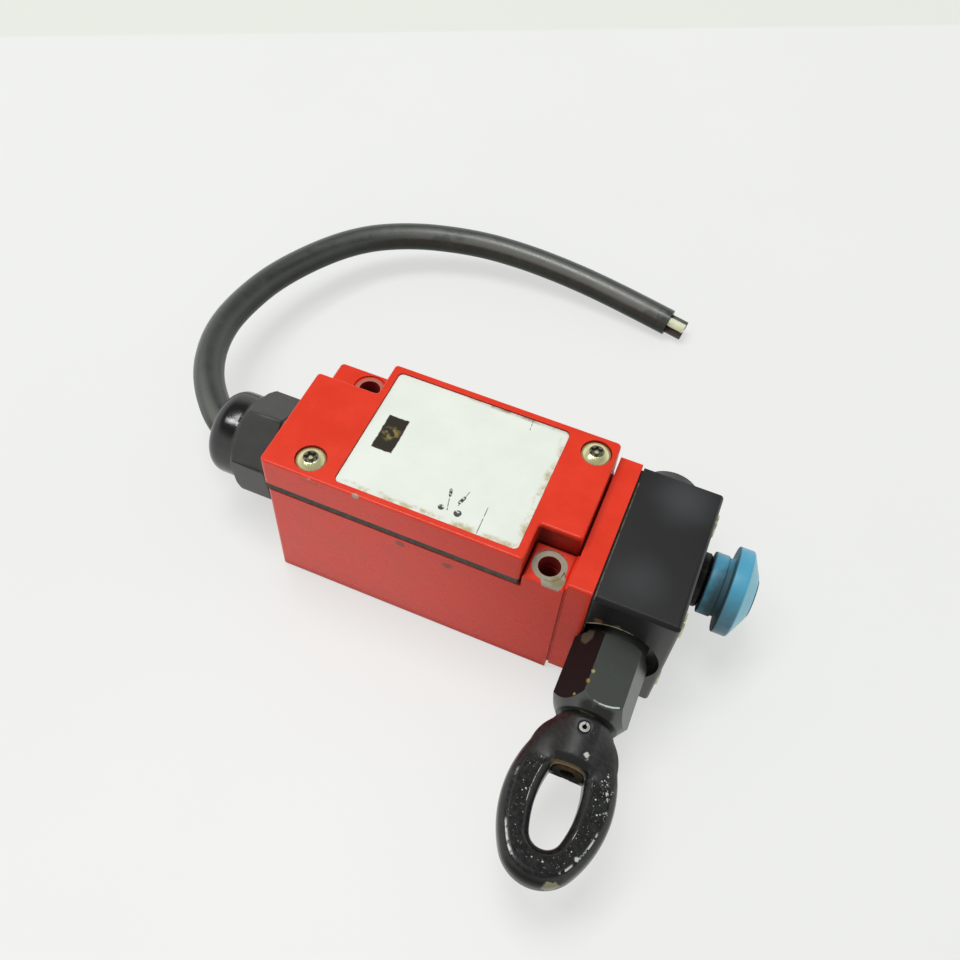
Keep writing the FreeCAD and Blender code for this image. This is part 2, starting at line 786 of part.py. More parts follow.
# Pull bushing: hexagon with a turned nose, hollow for the spring
def make_pull_bushing():
    corner_r = bushing_af / math.sqrt(3)
    hexagon = hex_y(pull_x, pull_z, bushing_af, bushing_turn, bushing_end_y, hex_start_y)
    envelope = turned_y(
        [
            (bushing_end_y, bushing_nose_r),
            (bushing_flat_end_y, corner_r + seat_fit),
            (hex_start_y - bushing_chamfer, corner_r + seat_fit),
            (hex_start_y, corner_r - bushing_chamfer),
        ],
        pull_x,
        pull_z,
    )
    neck = round_y(pull_x, pull_z, bushing_neck_r, hex_start_y - past, recess_floor_y)
    thread = round_y(pull_x, pull_z, bushing_thread_r - seat_fit, recess_floor_y - past, bushing_inner_y)
    bushing = hexagon.common(envelope).fuse([neck, thread]).removeSplitter()
    spring_bore = round_y(pull_x, pull_z, bushing_bore_r, bushing_floor_y, bushing_inner_y + past)
    shaft_bore = round_y(pull_x, pull_z, shaft_r + running_fit, bushing_end_y - past, bushing_floor_y + past)
    wiper_seat = round_y(pull_x, pull_z, wiper_r, bushing_end_y - past, bushing_end_y + wiper_length)
    return bushing.cut([spring_bore, shaft_bore, wiper_seat])


def make_shaft_wiper():
    ring = round_y(pull_x, pull_z, wiper_r - seat_fit, bushing_end_y, bushing_end_y + wiper_length)
    return ring.cut(round_y(pull_x, pull_z, shaft_r + running_fit, bushing_end_y - past, bushing_floor_y))


def make_pull_shaft():
    profile = [
        (hub_end_y, shaft_r - edge_break),
        (hub_end_y + edge_break, shaft_r),
        (collar_front_y, shaft_r),
        (collar_front_y, collar_r),
        (collar_back_y, collar_r),
        (collar_back_y, waist_r),
        (0, waist_r),
        (cone_length, cone_top_r),
        (tail_y, cone_top_r),
        (tail_y, tail_r),
        (tail_end_y, tail_r),
    ]
    shaft = turned_y(profile, pull_x, pull_z)
    centre_mark = round_y(pull_x, pull_z, centre_mark_r, hub_end_y - past, hub_end_y + centre_mark_depth)
    pin_hole = round_z(pull_x, pin_y, roll_pin_d / 2 + roll_pin_fit, pull_z - collar_r, pull_z + collar_r)
    return shaft.cut([centre_mark, pin_hole])


def oval_centres(half_x, half_y, end_r):
    """Side radius and the two centre offsets of an oval made of four tangent arcs."""
    side_r = (half_x ** 2 + (half_y - end_r) ** 2 - end_r ** 2) / (2 * (half_x - end_r))
    return side_r, half_x - side_r, half_y - end_r


def oval_arcs(half_x, half_y, end_r, grow, z, cut_y):
    """Closed oval moved out by grow, cut off straight at cut_y where that is given."""
    side_r, side_c, end_c = oval_centres(half_x, half_y, end_r)
    reach = math.hypot(side_c, end_c)
    join = V(-side_c, end_c, 0) * ((end_r + grow) / reach) + V(0, end_c, 0)
    wide = half_x + grow
    far = half_y + grow
    low_right = V(join.x, -join.y, z)
    low_left = V(-join.x, -join.y, z)
    end_arc = Part.Arc(low_left, V(0, -far, z), low_right).toShape()
    if cut_y is None:
        top_right = V(join.x, join.y, z)
        top_left = V(-join.x, join.y, z)
        closing = Part.Arc(top_right, V(0, far, z), top_left).toShape()
    else:
        cut_x = side_c + math.sqrt((side_r + grow) ** 2 - (cut_y + grow) ** 2)
        top_right = V(cut_x, cut_y + grow, z)
        top_left = V(-cut_x, cut_y + grow, z)
        closing = Part.makeLine(top_right, top_left)
    right = Part.Arc(low_right, V(wide, 0, z), top_right).toShape()
    left = Part.Arc(top_left, V(-wide, 0, z), low_left).toShape()
    return Part.Wire([end_arc, right, closing, left])


def make_pull_eye():
    half = eye_thickness / 2
    rim = quarter_round(half, 0, eye_outer_round)
    levels = [(-z, grow) for z, grow in reversed(rim)] + rim
    sections = [oval_arcs(eye_half_width, eye_half_length, eye_end_r, grow, z, None) for z, grow in levels]
    ring = moved(Part.makeLoft(sections, True, True), V(pull_x, eye_mid_y, pull_z))

    rounds = [Part.Wire(Part.makeCircle(eye_shoulder_r + grow, V(0, 0, z))) for z, grow in levels]
    shoulder = moved(Part.makeLoft(rounds, True, True), V(pull_x, eye_end_y - eye_shoulder_drop, pull_z))
    reach = eye_half_width
    beyond = box(-reach, reach, 0, reach, -reach, reach)
    ring = ring.fuse(shoulder.cut(moved(beyond, V(pull_x, eye_end_y, pull_z))))

    opening_y = eye_mid_y - eye_opening_shift
    throat = half - eye_inner_round
    flare = eye_inner_round + past
    mouths = []
    for z, grow in ((-half - past, flare), (-throat, 0), (throat, 0), (half + past, flare)):
        mouth = oval_arcs(
            eye_opening_half_width, eye_opening_half_length, eye_opening_end_r, grow, z, hub_end_y - opening_y
        )
        mouths.append(mouth)
    ring = ring.cut(moved(Part.makeLoft(mouths, True, True), V(pull_x, opening_y, pull_z)))

    hub_profile = [
        (hub_end_y, eye_hub_r - eye_hub_taper),
        (eye_end_y - eye_hub_round, eye_hub_r),
        (eye_end_y, eye_hub_r - eye_hub_round),
    ]
    eye = ring.fuse(turned_y(hub_profile, pull_x, pull_z)).removeSplitter()
    bore = round_y(pull_x, pull_z, shaft_r + seat_fit, hub_end_y, eye_end_y + past)
    hole_r = roll_pin_d / 2 + roll_pin_fit
    pin_hole = round_z(pull_x, pin_y, hole_r, pull_z - eye_half_width, pull_z + eye_half_width)
    return eye.cut([bore, pin_hole])


def make_roll_pin():
    half = eye_hub_r - roll_pin_inset
    reach = half + past
    pin = round_z(0, 0, roll_pin_d / 2, -half, half)
    bore = round_z(0, 0, roll_pin_bore_d / 2, -reach, reach)
    slit = box(-roll_pin_slit / 2, roll_pin_slit / 2, 0, roll_pin_d, -reach, reach)
    return moved(pin.cut([bore, slit]), V(pull_x, pin_y, pull_z))


def make_spring_seat():
    back = collar_front_y - flat_gap
    front = back - seat_washer_length
    ring = round_y(pull_x, pull_z, seat_washer_r, front, back)
    return ring.cut(round_y(pull_x, pull_z, shaft_r + running_fit, front - past, back + past))


def make_pull_spring():
    inner_end = collar_front_y - 2 * flat_gap - seat_washer_length
    length = inner_end - bushing_floor_y - flat_gap
    spring = coil(pull_spring_mean_r, pull_spring_wire, pull_spring_turns, length)
    return moved(spring, V(pull_x, inner_end, pull_z), V(1, 0, 0), 90)


def make_head_plunger():
    profile = [(plunger_end_x, plunger_r - edge_break), (plunger_end_x + edge_break, plunger_r)]
    return turned_x(profile + quarter_round(plunger_tip_x, plunger_r, nose_round), 0, pull_z)


# Latch rod and reset knob
def make_reset_rod():
    profile = [
        (rod_tip_x, reset_rod_r - rod_tip_chamfer),
        (rod_tip_x + rod_tip_chamfer, reset_rod_r),
        (rod_collar_x0, reset_rod_r),
        (rod_collar_x0, rod_collar_r),
        (rod_collar_x1, rod_collar_r),
        (rod_collar_x1, reset_rod_r),
        (rod_end_x, reset_rod_r),
    ]
    return turned_x(profile, reset_y, pull_z)


def make_reset_bush():
    stud_r = reset_bush_thread_r - seat_fit
    profile = [
        (bush_inner_x, stud_r),
        (head_x1, stud_r),
        (head_x1, reset_bush_r),
        (bush_front_x - edge_break, reset_bush_r),
        (bush_front_x, reset_bush_r - edge_break),
    ]
    bush = turned_x(profile, reset_y, pull_z)
    pocket = round_x(reset_y, pull_z, reset_pocket_r, bush_inner_x - past, bush_pocket_x)
    rod_bore = round_x(reset_y, pull_z, reset_rod_r + running_fit, bush_inner_x, bush_front_x + past)
    return bush.cut([pocket, rod_bore])


def make_reset_spring():
    start = rod_collar_x1 + flat_gap
    length = bush_pocket_x - flat_gap - start
    spring = coil(reset_spring_mean_r, reset_spring_wire, reset_spring_turns, length)
    return to_x(spring, V(start, reset_y, pull_z))


def make_reset_knob():
    profile = [
        (knob_x0, knob_collar_r - knob_edge_r),
        (knob_x0 + knob_edge_r, knob_collar_r),
        (knob_neck_x0 - knob_edge_r, knob_collar_r),
        (knob_neck_x0, knob_collar_r - knob_edge_r),
        (knob_neck_x0, knob_neck_r),
        (knob_cap_x0, knob_neck_r),
        (knob_cap_x0, knob_cap_r - knob_edge_r),
        (knob_cap_x0 + knob_edge_r, knob_cap_r),
        (knob_rim_x1 - knob_edge_r, knob_cap_r),
        (knob_rim_x1, knob_cap_r - knob_edge_r),
        (knob_x1 - knob_edge_r, knob_cone_front_r),
        (knob_x1, knob_cone_front_r - knob_edge_r),
    ]
    knob = turned_x(profile, reset_y, pull_z)
    seat_x = knob_x1 - knob_disc_thickness
    disc_seat = round_x(reset_y, pull_z, knob_disc_r + seat_fit, seat_x, knob_x1 + past)
    rod_bore = round_x(reset_y, pull_z, reset_rod_r + seat_fit, knob_x0 - past, rod_end_x + flat_gap)
    return knob.cut([disc_seat, rod_bore])


def make_knob_disc():
    return round_x(reset_y, pull_z, knob_disc_r, knob_x1 - knob_disc_thickness, knob_x1 + knob_disc_proud)


# Contact block
strip_z0 = block_top
strip_z1 = block_top + contact_strip_thickness
closed_tab_x = closed_bridge_x + bridge_thickness / 2 + 2 * tip_height + flat_gap
open_tab_x = open_bridge_x - bridge_thickness / 2 - 2 * tip_height - plunger_travel - flat_gap
closed_terminal_x = closed_tab_x + contact_strip_length - terminal_from_end
open_terminal_x = open_tab_x - contact_strip_length + terminal_from_end
clamp_z = strip_z1 + clamp_opening
terminal_places = []
for side in (-1, 1):
    terminal_places.append((closed_terminal_x, side * rail_mid_y))
    terminal_places.append((open_terminal_x, side * rail_mid_y))


def make_contact_block():
    block = box(block_x0, block_x1, -half_block, half_block, block_z0, block_top)
    block = block.makeFillet(block_corner_r, upright_edges(block))
    for x in lug_places:
        half = lug_length / 2
        lug = box(x - half, x + half, -lug_width / 2, lug_width / 2, block_z0, block_z0 + lug_height)
        block = block.fuse(lug)
    half = channel_half_width
    cuts = [box(channel_x0, block_x1 + past, -half, half, channel_z0, block_top + past)]
    slot_z = bridge_z - bridge_height / 2 - slot_clearance
    closed_x0 = closed_bridge_x - bridge_thickness / 2 - plunger_travel - slot_clearance
    closed_x1 = closed_tab_x + contact_tab_thickness + slot_clearance
    open_x0 = open_tab_x - contact_tab_thickness - slot_clearance
    open_x1 = open_bridge_x + bridge_thickness / 2 + slot_clearance
    slot_y = bridge_half_length + slot_clearance
    for x0, x1 in ((closed_x0, closed_x1), (open_x0, open_x1)):
        cuts.append(box(x0, x1, -slot_y, slot_y, slot_z, block_top + past))
    lug_top = block_z0 + lug_height
    for x in lug_places:
        cuts.append(round_z(x, 0, block_screw_d / 2 + hole_clearance, block_z0 - past, lug_top + past))
    thread_end = block_top - terminal_screw_bite - thread_runout
    for x, y in terminal_places:
        cuts.append(round_z(x, y, terminal_screw_d / 2 + seat_fit, thread_end, block_top + past))
    return block.removeSplitter().cut(cuts)


def make_block_lid():
    half = channel_half_width + lid_overlap
    x1 = block_x1 - lid_margin
    return box(block_x0 + lid_margin, x1, -half, half, block_top, block_top + lid_thickness)


def make_block_screws():
    screw = slotted_screw(block_screw_d, block_screw_head_d, block_screw_head_h, block_screw_length)
    return Part.makeCompound([moved(screw, V(x, 0, block_z0 + lug_height)) for x in lug_places])


def make_contact_carrier():
    half_y = channel_half_width - carrier_side_gap
    z0 = channel_z0 + flat_gap
    z1 = block_top - carrier_side_gap
    carrier = box(carrier_x0, carrier_x1, -half_y, half_y, z0, z1)
    carrier = carrier.makeChamfer(edge_break, edges(carrier, lambda edge: along(edge, "x")))
    stem = round_x(0, pull_z, carrier_stem_r, carrier_x1 - past, carrier_top_x)
    spigot = round_x(0, pull_z, carrier_spigot_r, carrier_x0 - carrier_spigot_length, carrier_x0 + past)
    carrier = carrier.fuse([stem, spigot]).removeSplitter()
    half_h = bridge_height / 2 + flat_gap
    windows = []
    for x0, x1 in window_spans():
        windows.append(box(x0, x1, -half_y - past, half_y + past, bridge_z - half_h, bridge_z + half_h))
    return carrier.cut(windows)


def window_spans():
    half = bridge_thickness / 2 + flat_gap
    closed_span = (closed_bridge_x + half - window_length, closed_bridge_x + half)
    open_span = (open_bridge_x - half, open_bridge_x - half + window_length)
    return closed_span, open_span


def make_contact_bridges():
    half_h = bridge_height / 2
    bridges = []
    for x, facing in ((closed_bridge_x, 1), (open_bridge_x, -1)):
        half_t = bridge_thickness / 2
        half_l = bridge_half_length
        strip = box(x - half_t, x + half_t, -half_l, half_l, bridge_z - half_h, bridge_z + half_h)
        face = x + facing * half_t
        tips = []
        for y in (-tip_y, tip_y):
            x0 = min(face, face + facing * tip_height)
            tips.append(round_x(y, bridge_z, tip_r, x0, x0 + tip_height))
        bridges.append(strip.fuse(tips).removeSplitter())
    return Part.makeCompound(bridges)


def make_bridge_springs():
    """Bowed leaf springs that press each bridge against the wall of its window."""
    springs = []
    half_y = channel_half_width - leaf_inset_y
    half_h = bridge_height / 2 - leaf_inset_z
    for (x0, x1), facing in zip(window_spans(), (1, -1)):
        back = x0 if facing > 0 else x1
        crown = back + facing * leaf_bow
        thick = facing * leaf_thickness
        z = bridge_z - half_h
        foot = back + facing * flat_gap
        inner = Part.Arc(V(foot, -half_y, z), V(crown, 0, z), V(foot, half_y, z)).toShape()
        outer = moved(inner, V(thick, 0, 0))
        side_a = Part.makeLine(V(foot, half_y, z), V(foot + thick, half_y, z))
        side_b = Part.makeLine(V(foot + thick, -half_y, z), V(foot, -half_y, z))
        leaf = Part.Face(Part.Wire([inner, side_a, outer, side_b]))
        springs.append(leaf.extrude(V(0, 0, 2 * half_h)))
    return Part.makeCompound(springs)


def make_carrier_spring():
    start = channel_x0 + flat_gap
    length = carrier_x0 - flat_gap - start
    spring = coil(carrier_spring_mean_r, carrier_spring_wire, carrier_spring_turns, length)
    return to_x(spring, V(start, 0, pull_z))


def make_fixed_contacts():
    contacts = []
    tab_z = bridge_z - bridge_height / 2
    for tab_x, facing in ((closed_tab_x, 1), (open_tab_x, -1)):
        for side in (-1, 1):
            far_x = tab_x + facing * contact_tab_thickness
            strip_end = tab_x + facing * contact_strip_length
            half_w = contact_strip_width / 2
            mid_y = side * rail_mid_y
            tab_y = side * tip_y
            half_tab = contact_tab_width / 2
            x0 = min(tab_x, far_x)
            tab = box(x0, x0 + contact_tab_thickness, tab_y - half_tab, tab_y + half_tab, tab_z, strip_z1)
            s0 = min(tab_x, strip_end)
            strip = box(s0, s0 + contact_strip_length, mid_y - half_w, mid_y + half_w, strip_z0, strip_z1)
            t0 = min(tab_x, tab_x - facing * tip_height)
            tip = round_x(tab_y, bridge_z, tip_r, t0, t0 + tip_height)
            contact = strip.fuse([tab, tip]).removeSplitter()
            terminal_x = strip_end - facing * terminal_from_end
            hole_r = terminal_screw_d / 2 + seat_fit
            hole = round_z(terminal_x, mid_y, hole_r, strip_z0 - past, strip_z1 + past)
            contacts.append(contact.cut(hole))
    return Part.makeCompound(contacts)


def saddle_clamp(x, y, side, z0, screw_d):
    """Clamp plate on two legs over a seat at height z0, open along Y for the wire."""
    half = side / 2
    top = z0 + clamp_opening + clamp_thickness
    plate = box(x - half, x + half, y - half, y + half, z0 + clamp_opening, top)
    legs = []
    for leg_x in (x - half, x + half - clamp_leg):
        legs.append(box(leg_x, leg_x + clamp_leg, y - half, y + half, z0, top))
    return plate.fuse(legs).removeSplitter().cut(round_z(x, y, screw_d / 2 + seat_fit, z0, top + past))


def make_terminal_clamps():
    clamps = [saddle_clamp(x, y, clamp_side, strip_z1, terminal_screw_d) for x, y in terminal_places]
    return Part.makeCompound(clamps)


def make_terminal_screws():
    seat_z = clamp_z + clamp_thickness
    length = seat_z - block_top + terminal_screw_bite
    screw = slotted_screw(terminal_screw_d, terminal_screw_head_d, terminal_screw_head_h, length)
    return Part.makeCompound([moved(screw, V(x, y, seat_z)) for x, y in terminal_places])


def make_earth_clamp():
    return saddle_clamp(earth_x, earth_y, earth_clamp_side, earth_top, block_screw_d)


def make_earth_screw():
    seat = clamp_opening + clamp_thickness
    screw = slotted_screw(block_screw_d, block_screw_head_d, block_screw_head_h, seat + block_screw_bite)
    return moved(screw, V(earth_x, earth_y, earth_top + seat))


# Cable gland
def make_gland_washer():
    outer_x = body_x0 - gland_washer_thickness
    ring = round_x(0, conduit_z, gland_washer_r, outer_x, body_x0)
    return ring.cut(round_x(0, conduit_z, conduit_d / 2 + seat_fit, outer_x - past, body_x0 + past))


def make_gland_body():
    flange_x1_gland = body_x0 - gland_washer_thickness
    body = hex_x(0, conduit_z, gland_af, gland_turn, gland_flange_x0, flange_x1_gland)
    spigot = round_x(0, conduit_z, conduit_d / 2 - seat_fit, flange_x1_gland - past, gland_spigot_x1)
    nose = round_x(0, conduit_z, gland_nose_r, gland_nose_x0, gland_flange_x0 + past)
    body = body.fuse([spigot, nose]).removeSplitter()
    bore = round_x(0, conduit_z, cable_r + gland_bore_clearance, gland_nose_x0 - past, gland_spigot_x1 + past)
    seal_seat = round_x(0, conduit_z, gland_seal_r + seat_fit, gland_nose_x0 - past, seal_x1)
    return body.cut([bore, seal_seat])


def make_gland_seal():
    ring = round_x(0, conduit_z, gland_seal_r, seal_x0, seal_x1)
    ring = ring.makeChamfer(gland_seal_chamfer, edges(ring, lambda edge: flat_at(edge, "x", seal_x0)))
    return ring.cut(round_x(0, conduit_z, cable_r + seat_fit, seal_x0 - past, seal_x1 + past))


def make_gland_nut():
    corner_r = gland_af / math.sqrt(3)
    hexagon = hex_x(0, conduit_z, gland_af, gland_turn, gland_hex_end_x, gland_nut_x1)
    envelope = turned_x(
        [
            (gland_hex_end_x, corner_r - gland_chamfer),
            (gland_hex_end_x + gland_chamfer, corner_r + seat_fit),
            (gland_nut_x1, corner_r + seat_fit),
        ],
        0,
        conduit_z,
    )
    neck_x = gland_hex_end_x - gland_neck_length
    rounding = quarter_round(0, gland_dome_r, gland_dome_round)
    dome_profile = [(gland_mouth_x - place, r) for place, r in reversed(rounding)]
    dome_profile += [
        (neck_x - gland_dome_edge, gland_dome_r),
        (neck_x, gland_dome_r - gland_dome_edge),
        (neck_x, gland_neck_r),
        (gland_hex_end_x + past, gland_neck_r),
    ]
    nut = hexagon.common(envelope).fuse(turned_x(dome_profile, 0, conduit_z)).removeSplitter()
    thread = round_x(0, conduit_z, gland_nose_r + seat_fit, gland_nose_x0 - free_gap, gland_nut_x1 + past)
    seal_room = round_x(0, conduit_z, gland_seal_r + hole_clearance, seal_x0 - flat_gap, gland_nut_x1)
    throat_r = cable_r + gland_throat_clearance
    throat = turned_x(
        [
            (gland_mouth_x - past, gland_mouth_r),
            (gland_mouth_x + gland_mouth_depth, gland_mouth_r),
            (seal_x0, throat_r),
            (seal_x0 + past, throat_r),
        ],
        0,
        conduit_z,
    )
    return nut.cut([thread, seal_room, throat])


# Cable: the free stretch, the clamped stretch, the cut cores and the leads to the terminals
def make_cable():
    ring = Part.makeCircle(cable_r, cable_route[0], cable_route[1] - cable_route[0])
    cable, length, radii = tube(cable_route, Part.Wire(ring))
    section = math.pi * cable_r ** 2
    print("cable arc radii", [round(radius, 1) for radius in radii])
    print("cable length", round(length, 1), "volume ratio", round(cable.Volume / (section * length), 4))
    return cable


def make_cable_inner():
    return round_x(0, conduit_z, cable_r, seal_x0, lead_x)


def make_cable_cores():
    end = cable_route[-1]
    ahead = (end - cable_route[-2]).normalize()
    across = ahead.cross(V(0, 0, 1)).normalize()
    upward = across.cross(ahead)
    cores = []
    for k in range(3):
        angle = math.radians(core_turn + 120 * k)
        start = end + across * (core_pitch_r * math.cos(angle)) + upward * (core_pitch_r * math.sin(angle))
        cores.append(Part.makeCylinder(core_d / 2, core_stub_length, start, ahead))
    return Part.makeCompound(cores)


def bared_lead(route, wire_end):
    """Eight-sided lead along the route, which starts along X, with its bare end reaching to wire_end."""
    angles = [math.radians(45 * k) for k in range(8)]
    ring = [route[0] + V(0, math.cos(angle), math.sin(angle)) * (core_d / 2) for angle in angles]
    lead = tube(route, Part.makePolygon(ring + [ring[0]]))[0]
    bare = wire_end - route[-1]
    return lead.fuse(Part.makeCylinder(bare_wire_d / 2, bare.Length, route[-1], bare)).removeSplitter()


def make_lead_wires():
    lane_z = block_top + lid_thickness + core_d / 2 + lead_lift
    core_y = core_pitch_r * math.cos(math.radians(30))
    core_z = conduit_z + core_pitch_r * math.sin(math.radians(30))
    clamp_y = rail_mid_y - clamp_side / 2 - lead_end_gap
    wire_y = rail_mid_y - terminal_screw_d / 2 - free_gap
    leads = []
    for side in (-1, 1):
        route = [
            V(lead_x, side * core_y, core_z),
            V(lead_x + lead_straight, side * core_y, core_z),
            V(block_x0 - lead_straight, side * lane_y, lane_z),
            V(closed_terminal_x - lead_lift, side * (lane_y - core_d / 4), lane_z),
            V(closed_terminal_x, side * clamp_y, lane_z),
        ]
        leads.append(bared_lead(route, V(closed_terminal_x, side * wire_y, strip_z1 + clamp_opening / 2)))
    drop_y = earth_y + earth_clamp_side / 2 + earth_drop
    earth_route = [
        V(lead_x, 0, conduit_z - core_pitch_r),
        V(earth_x + core_d, 0, conduit_z - core_pitch_r),
        V(earth_x + core_d / 2, drop_y, earth_top + clamp_opening + core_d / 2),
        V(earth_x, drop_y - core_d, earth_top + core_d / 2 + lead_lift),
    ]
    earth_wire_y = earth_y + block_screw_d / 2 + free_gap
    leads.append(bared_lead(earth_route, V(earth_x, earth_wire_y, earth_top + clamp_opening / 2)))
    return Part.makeCompound(leads)


parts = {
    "housing": make_housing(),
    "cover_gasket": make_cover_gasket(),
    "cover": make_cover(),
    "cover_screws": make_cover_screws(),
    "label_plate": make_label_plate(),
    "head_gasket": make_head_gasket(),
    "head_casting": make_head_casting(),
    "head_screws": make_head_screws(),
    "rear_cap": make_rear_cap(),
    "cap_seal": make_cap_seal(),
    "pull_bushing": make_pull_bushing(),
    "shaft_wiper": make_shaft_wiper(),
    "pull_shaft": make_pull_shaft(),
    "pull_eye": make_pull_eye(),
    "roll_pin": make_roll_pin(),
    "spring_seat": make_spring_seat(),
    "pull_spring": make_pull_spring(),
    "head_plunger": make_head_plunger(),
    "reset_rod": make_reset_rod(),
    "reset_bush": make_reset_bush(),
    "reset_spring": make_reset_spring(),
    "reset_knob": make_reset_knob(),
    "knob_disc": make_knob_disc(),
    "contact_block": make_contact_block(),
    "block_lid": make_block_lid(),
    "block_screws": make_block_screws(),
    "contact_carrier": make_contact_carrier(),
    "contact_bridges": make_contact_bridges(),
    "bridge_springs": make_bridge_springs(),
    "carrier_spring": make_carrier_spring(),
    "fixed_contacts": make_fixed_contacts(),
    "terminal_clamps": make_terminal_clamps(),
    "terminal_screws": make_terminal_screws(),
    "earth_clamp": make_earth_clamp(),
    "earth_screw": make_earth_screw(),
    "gland_washer": make_gland_washer(),
    "gland_body": make_gland_body(),
    "gland_seal": make_gland_seal(),
    "gland_nut": make_gland_nut(),
    "cable": make_cable(),
    "cable_inner": make_cable_inner(),
    "cable_cores": make_cable_cores(),
    "lead_wires": make_lead_wires(),
}

os.makedirs("parts", exist_ok=True)
for name, shape in parts.items():
    shape.exportStep("parts/" + name + ".step")
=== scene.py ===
import math

import bmesh
import bpy
from bpy.props import FloatProperty, FloatVectorProperty, IntProperty, PointerProperty
from mathutils import Matrix, Vector


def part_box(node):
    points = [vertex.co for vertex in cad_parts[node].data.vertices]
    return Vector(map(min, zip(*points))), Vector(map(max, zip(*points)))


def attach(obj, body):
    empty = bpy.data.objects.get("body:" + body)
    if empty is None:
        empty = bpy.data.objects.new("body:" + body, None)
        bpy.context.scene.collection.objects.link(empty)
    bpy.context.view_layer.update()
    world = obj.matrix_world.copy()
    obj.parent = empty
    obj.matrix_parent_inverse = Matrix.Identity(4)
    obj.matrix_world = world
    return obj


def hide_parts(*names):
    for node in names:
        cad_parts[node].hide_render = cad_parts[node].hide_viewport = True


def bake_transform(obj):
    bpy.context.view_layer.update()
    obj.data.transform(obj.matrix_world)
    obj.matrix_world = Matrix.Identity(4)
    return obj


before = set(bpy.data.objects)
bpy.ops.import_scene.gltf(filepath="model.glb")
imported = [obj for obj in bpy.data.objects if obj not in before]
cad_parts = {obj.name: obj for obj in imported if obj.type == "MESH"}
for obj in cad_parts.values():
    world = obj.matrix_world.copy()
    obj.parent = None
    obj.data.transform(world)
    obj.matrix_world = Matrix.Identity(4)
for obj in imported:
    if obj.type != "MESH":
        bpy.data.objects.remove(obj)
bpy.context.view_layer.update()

bl_info = {
    "name": "Rope pull switch",
    "version": (1, 0, 0),
    "blender": (4, 5, 0),
    "location": "View3D > Sidebar > Pull switch",
    "description": "Dresses the rope pull switch: castings, pull eye, reset knob, gland and cut cable",
    "category": "Object",
}

MM = 0.001

# Places on the part, in millimetres and in its own frame
ORIGIN = (0.0, 0.0, 0.0)
PULL_AXIS = (49.7, 0.0, 21.4)
FRONT_HOLE = (30.0, -15.0, 0.0)
REAR_HOLE = (-30.0, 15.0, 0.0)
EAR_LEVEL = (38.9, 39.2)
GROOVE_FROM, GROOVE_TO = 34.8, 36.0
LABEL_LEVEL = 46.3
AWAY_FROM_CAMERA = (-0.4876, 0.8731, 0.0)
HUB_RELIEF_PLACE = (49.7, -49.5, 13.4)
HUB_RELIEF_SIZE = (12.6, 7.6, 6.0)
HUB_RELIEF_TILT = math.radians(-16.7)

# Centreline of the cable, from inside the gland to the cut end
CABLE_ROUTE = [
    (-0.0602, 0.0, 0.0222),
    (-0.0644, 0.0, 0.0222),
    (-0.0699, 0.0024, 0.0220),
    (-0.0807, 0.0138, 0.0212),
    (-0.0872, 0.0281, 0.0196),
    (-0.0893, 0.0429, 0.0177),
    (-0.0864, 0.0640, 0.0159),
    (-0.0745, 0.0883, 0.0140),
    (-0.0593, 0.1014, 0.0123),
    (-0.0391, 0.1094, 0.0106),
    (-0.0217, 0.1120, 0.0091),
    (-0.0037, 0.1122, 0.0075),
    (0.0143, 0.1106, 0.0059),
    (0.0308, 0.1083, 0.00435),
]


def colour(name, description, rgb):
    """Property for a colour."""
    return FloatVectorProperty(
        name=name, description=description, default=rgb, subtype="COLOR", size=3, min=0.0, max=1.0
    )


def length(name, description, size):
    """Property for a length given in millimetres."""
    default = size * MM
    return FloatProperty(name=name, description=description, default=default, unit="LENGTH", precision=5)


def rotation(name, description, degrees):
    """Property for an angle given in degrees."""
    return FloatProperty(name=name, description=description, default=math.radians(degrees), subtype="ANGLE")


class StageSettings(bpy.types.PropertyGroup):
    """Camera, floor and studio light"""

    camera_place: FloatVectorProperty(
        name="Camera place",
        description="Where the camera stands",
        default=(0.047873, -0.126987, 0.229414),
        subtype="TRANSLATION",
    )
    camera_turn: FloatVectorProperty(
        name="Camera turn",
        description="Camera rotation about X, Y and Z",
        default=(math.radians(35.1447), math.radians(-3.1443), math.radians(22.4449)),
        subtype="EULER",
    )
    lens: FloatProperty(name="Lens", description="Focal length", default=36.267, unit="CAMERA")
    floor_colour: colour("Floor", "Colour of the table", (0.86, 0.87, 0.85))
    wall_colour: colour("Wall", "Colour beyond the table's far edge", (0.80, 0.825, 0.76))
    sky_strength: FloatProperty(name="Sky", description="Strength of the even light", default=0.47, min=0.0)
    mirrored_ceiling: FloatProperty(
        name="Mirrored ceiling", description="Strength overhead in reflections", default=0.15
    )
    mirrored_walls: FloatProperty(
        name="Mirrored walls", description="Strength near the horizon in reflections", default=0.85
    )
    shadow_fill: FloatProperty(
        name="Shadow fill",
        description="Share of the table's white that shadows don't reach",
        default=0.68,
        subtype="FACTOR",
    )
    key_power: FloatProperty(
        name="Key light", description="Power of the ceiling panel", default=7.2, unit="POWER"
    )
    fill_power: FloatProperty(
        name="Fill light", description="Power of the side panel", default=2.2, unit="POWER"
    )


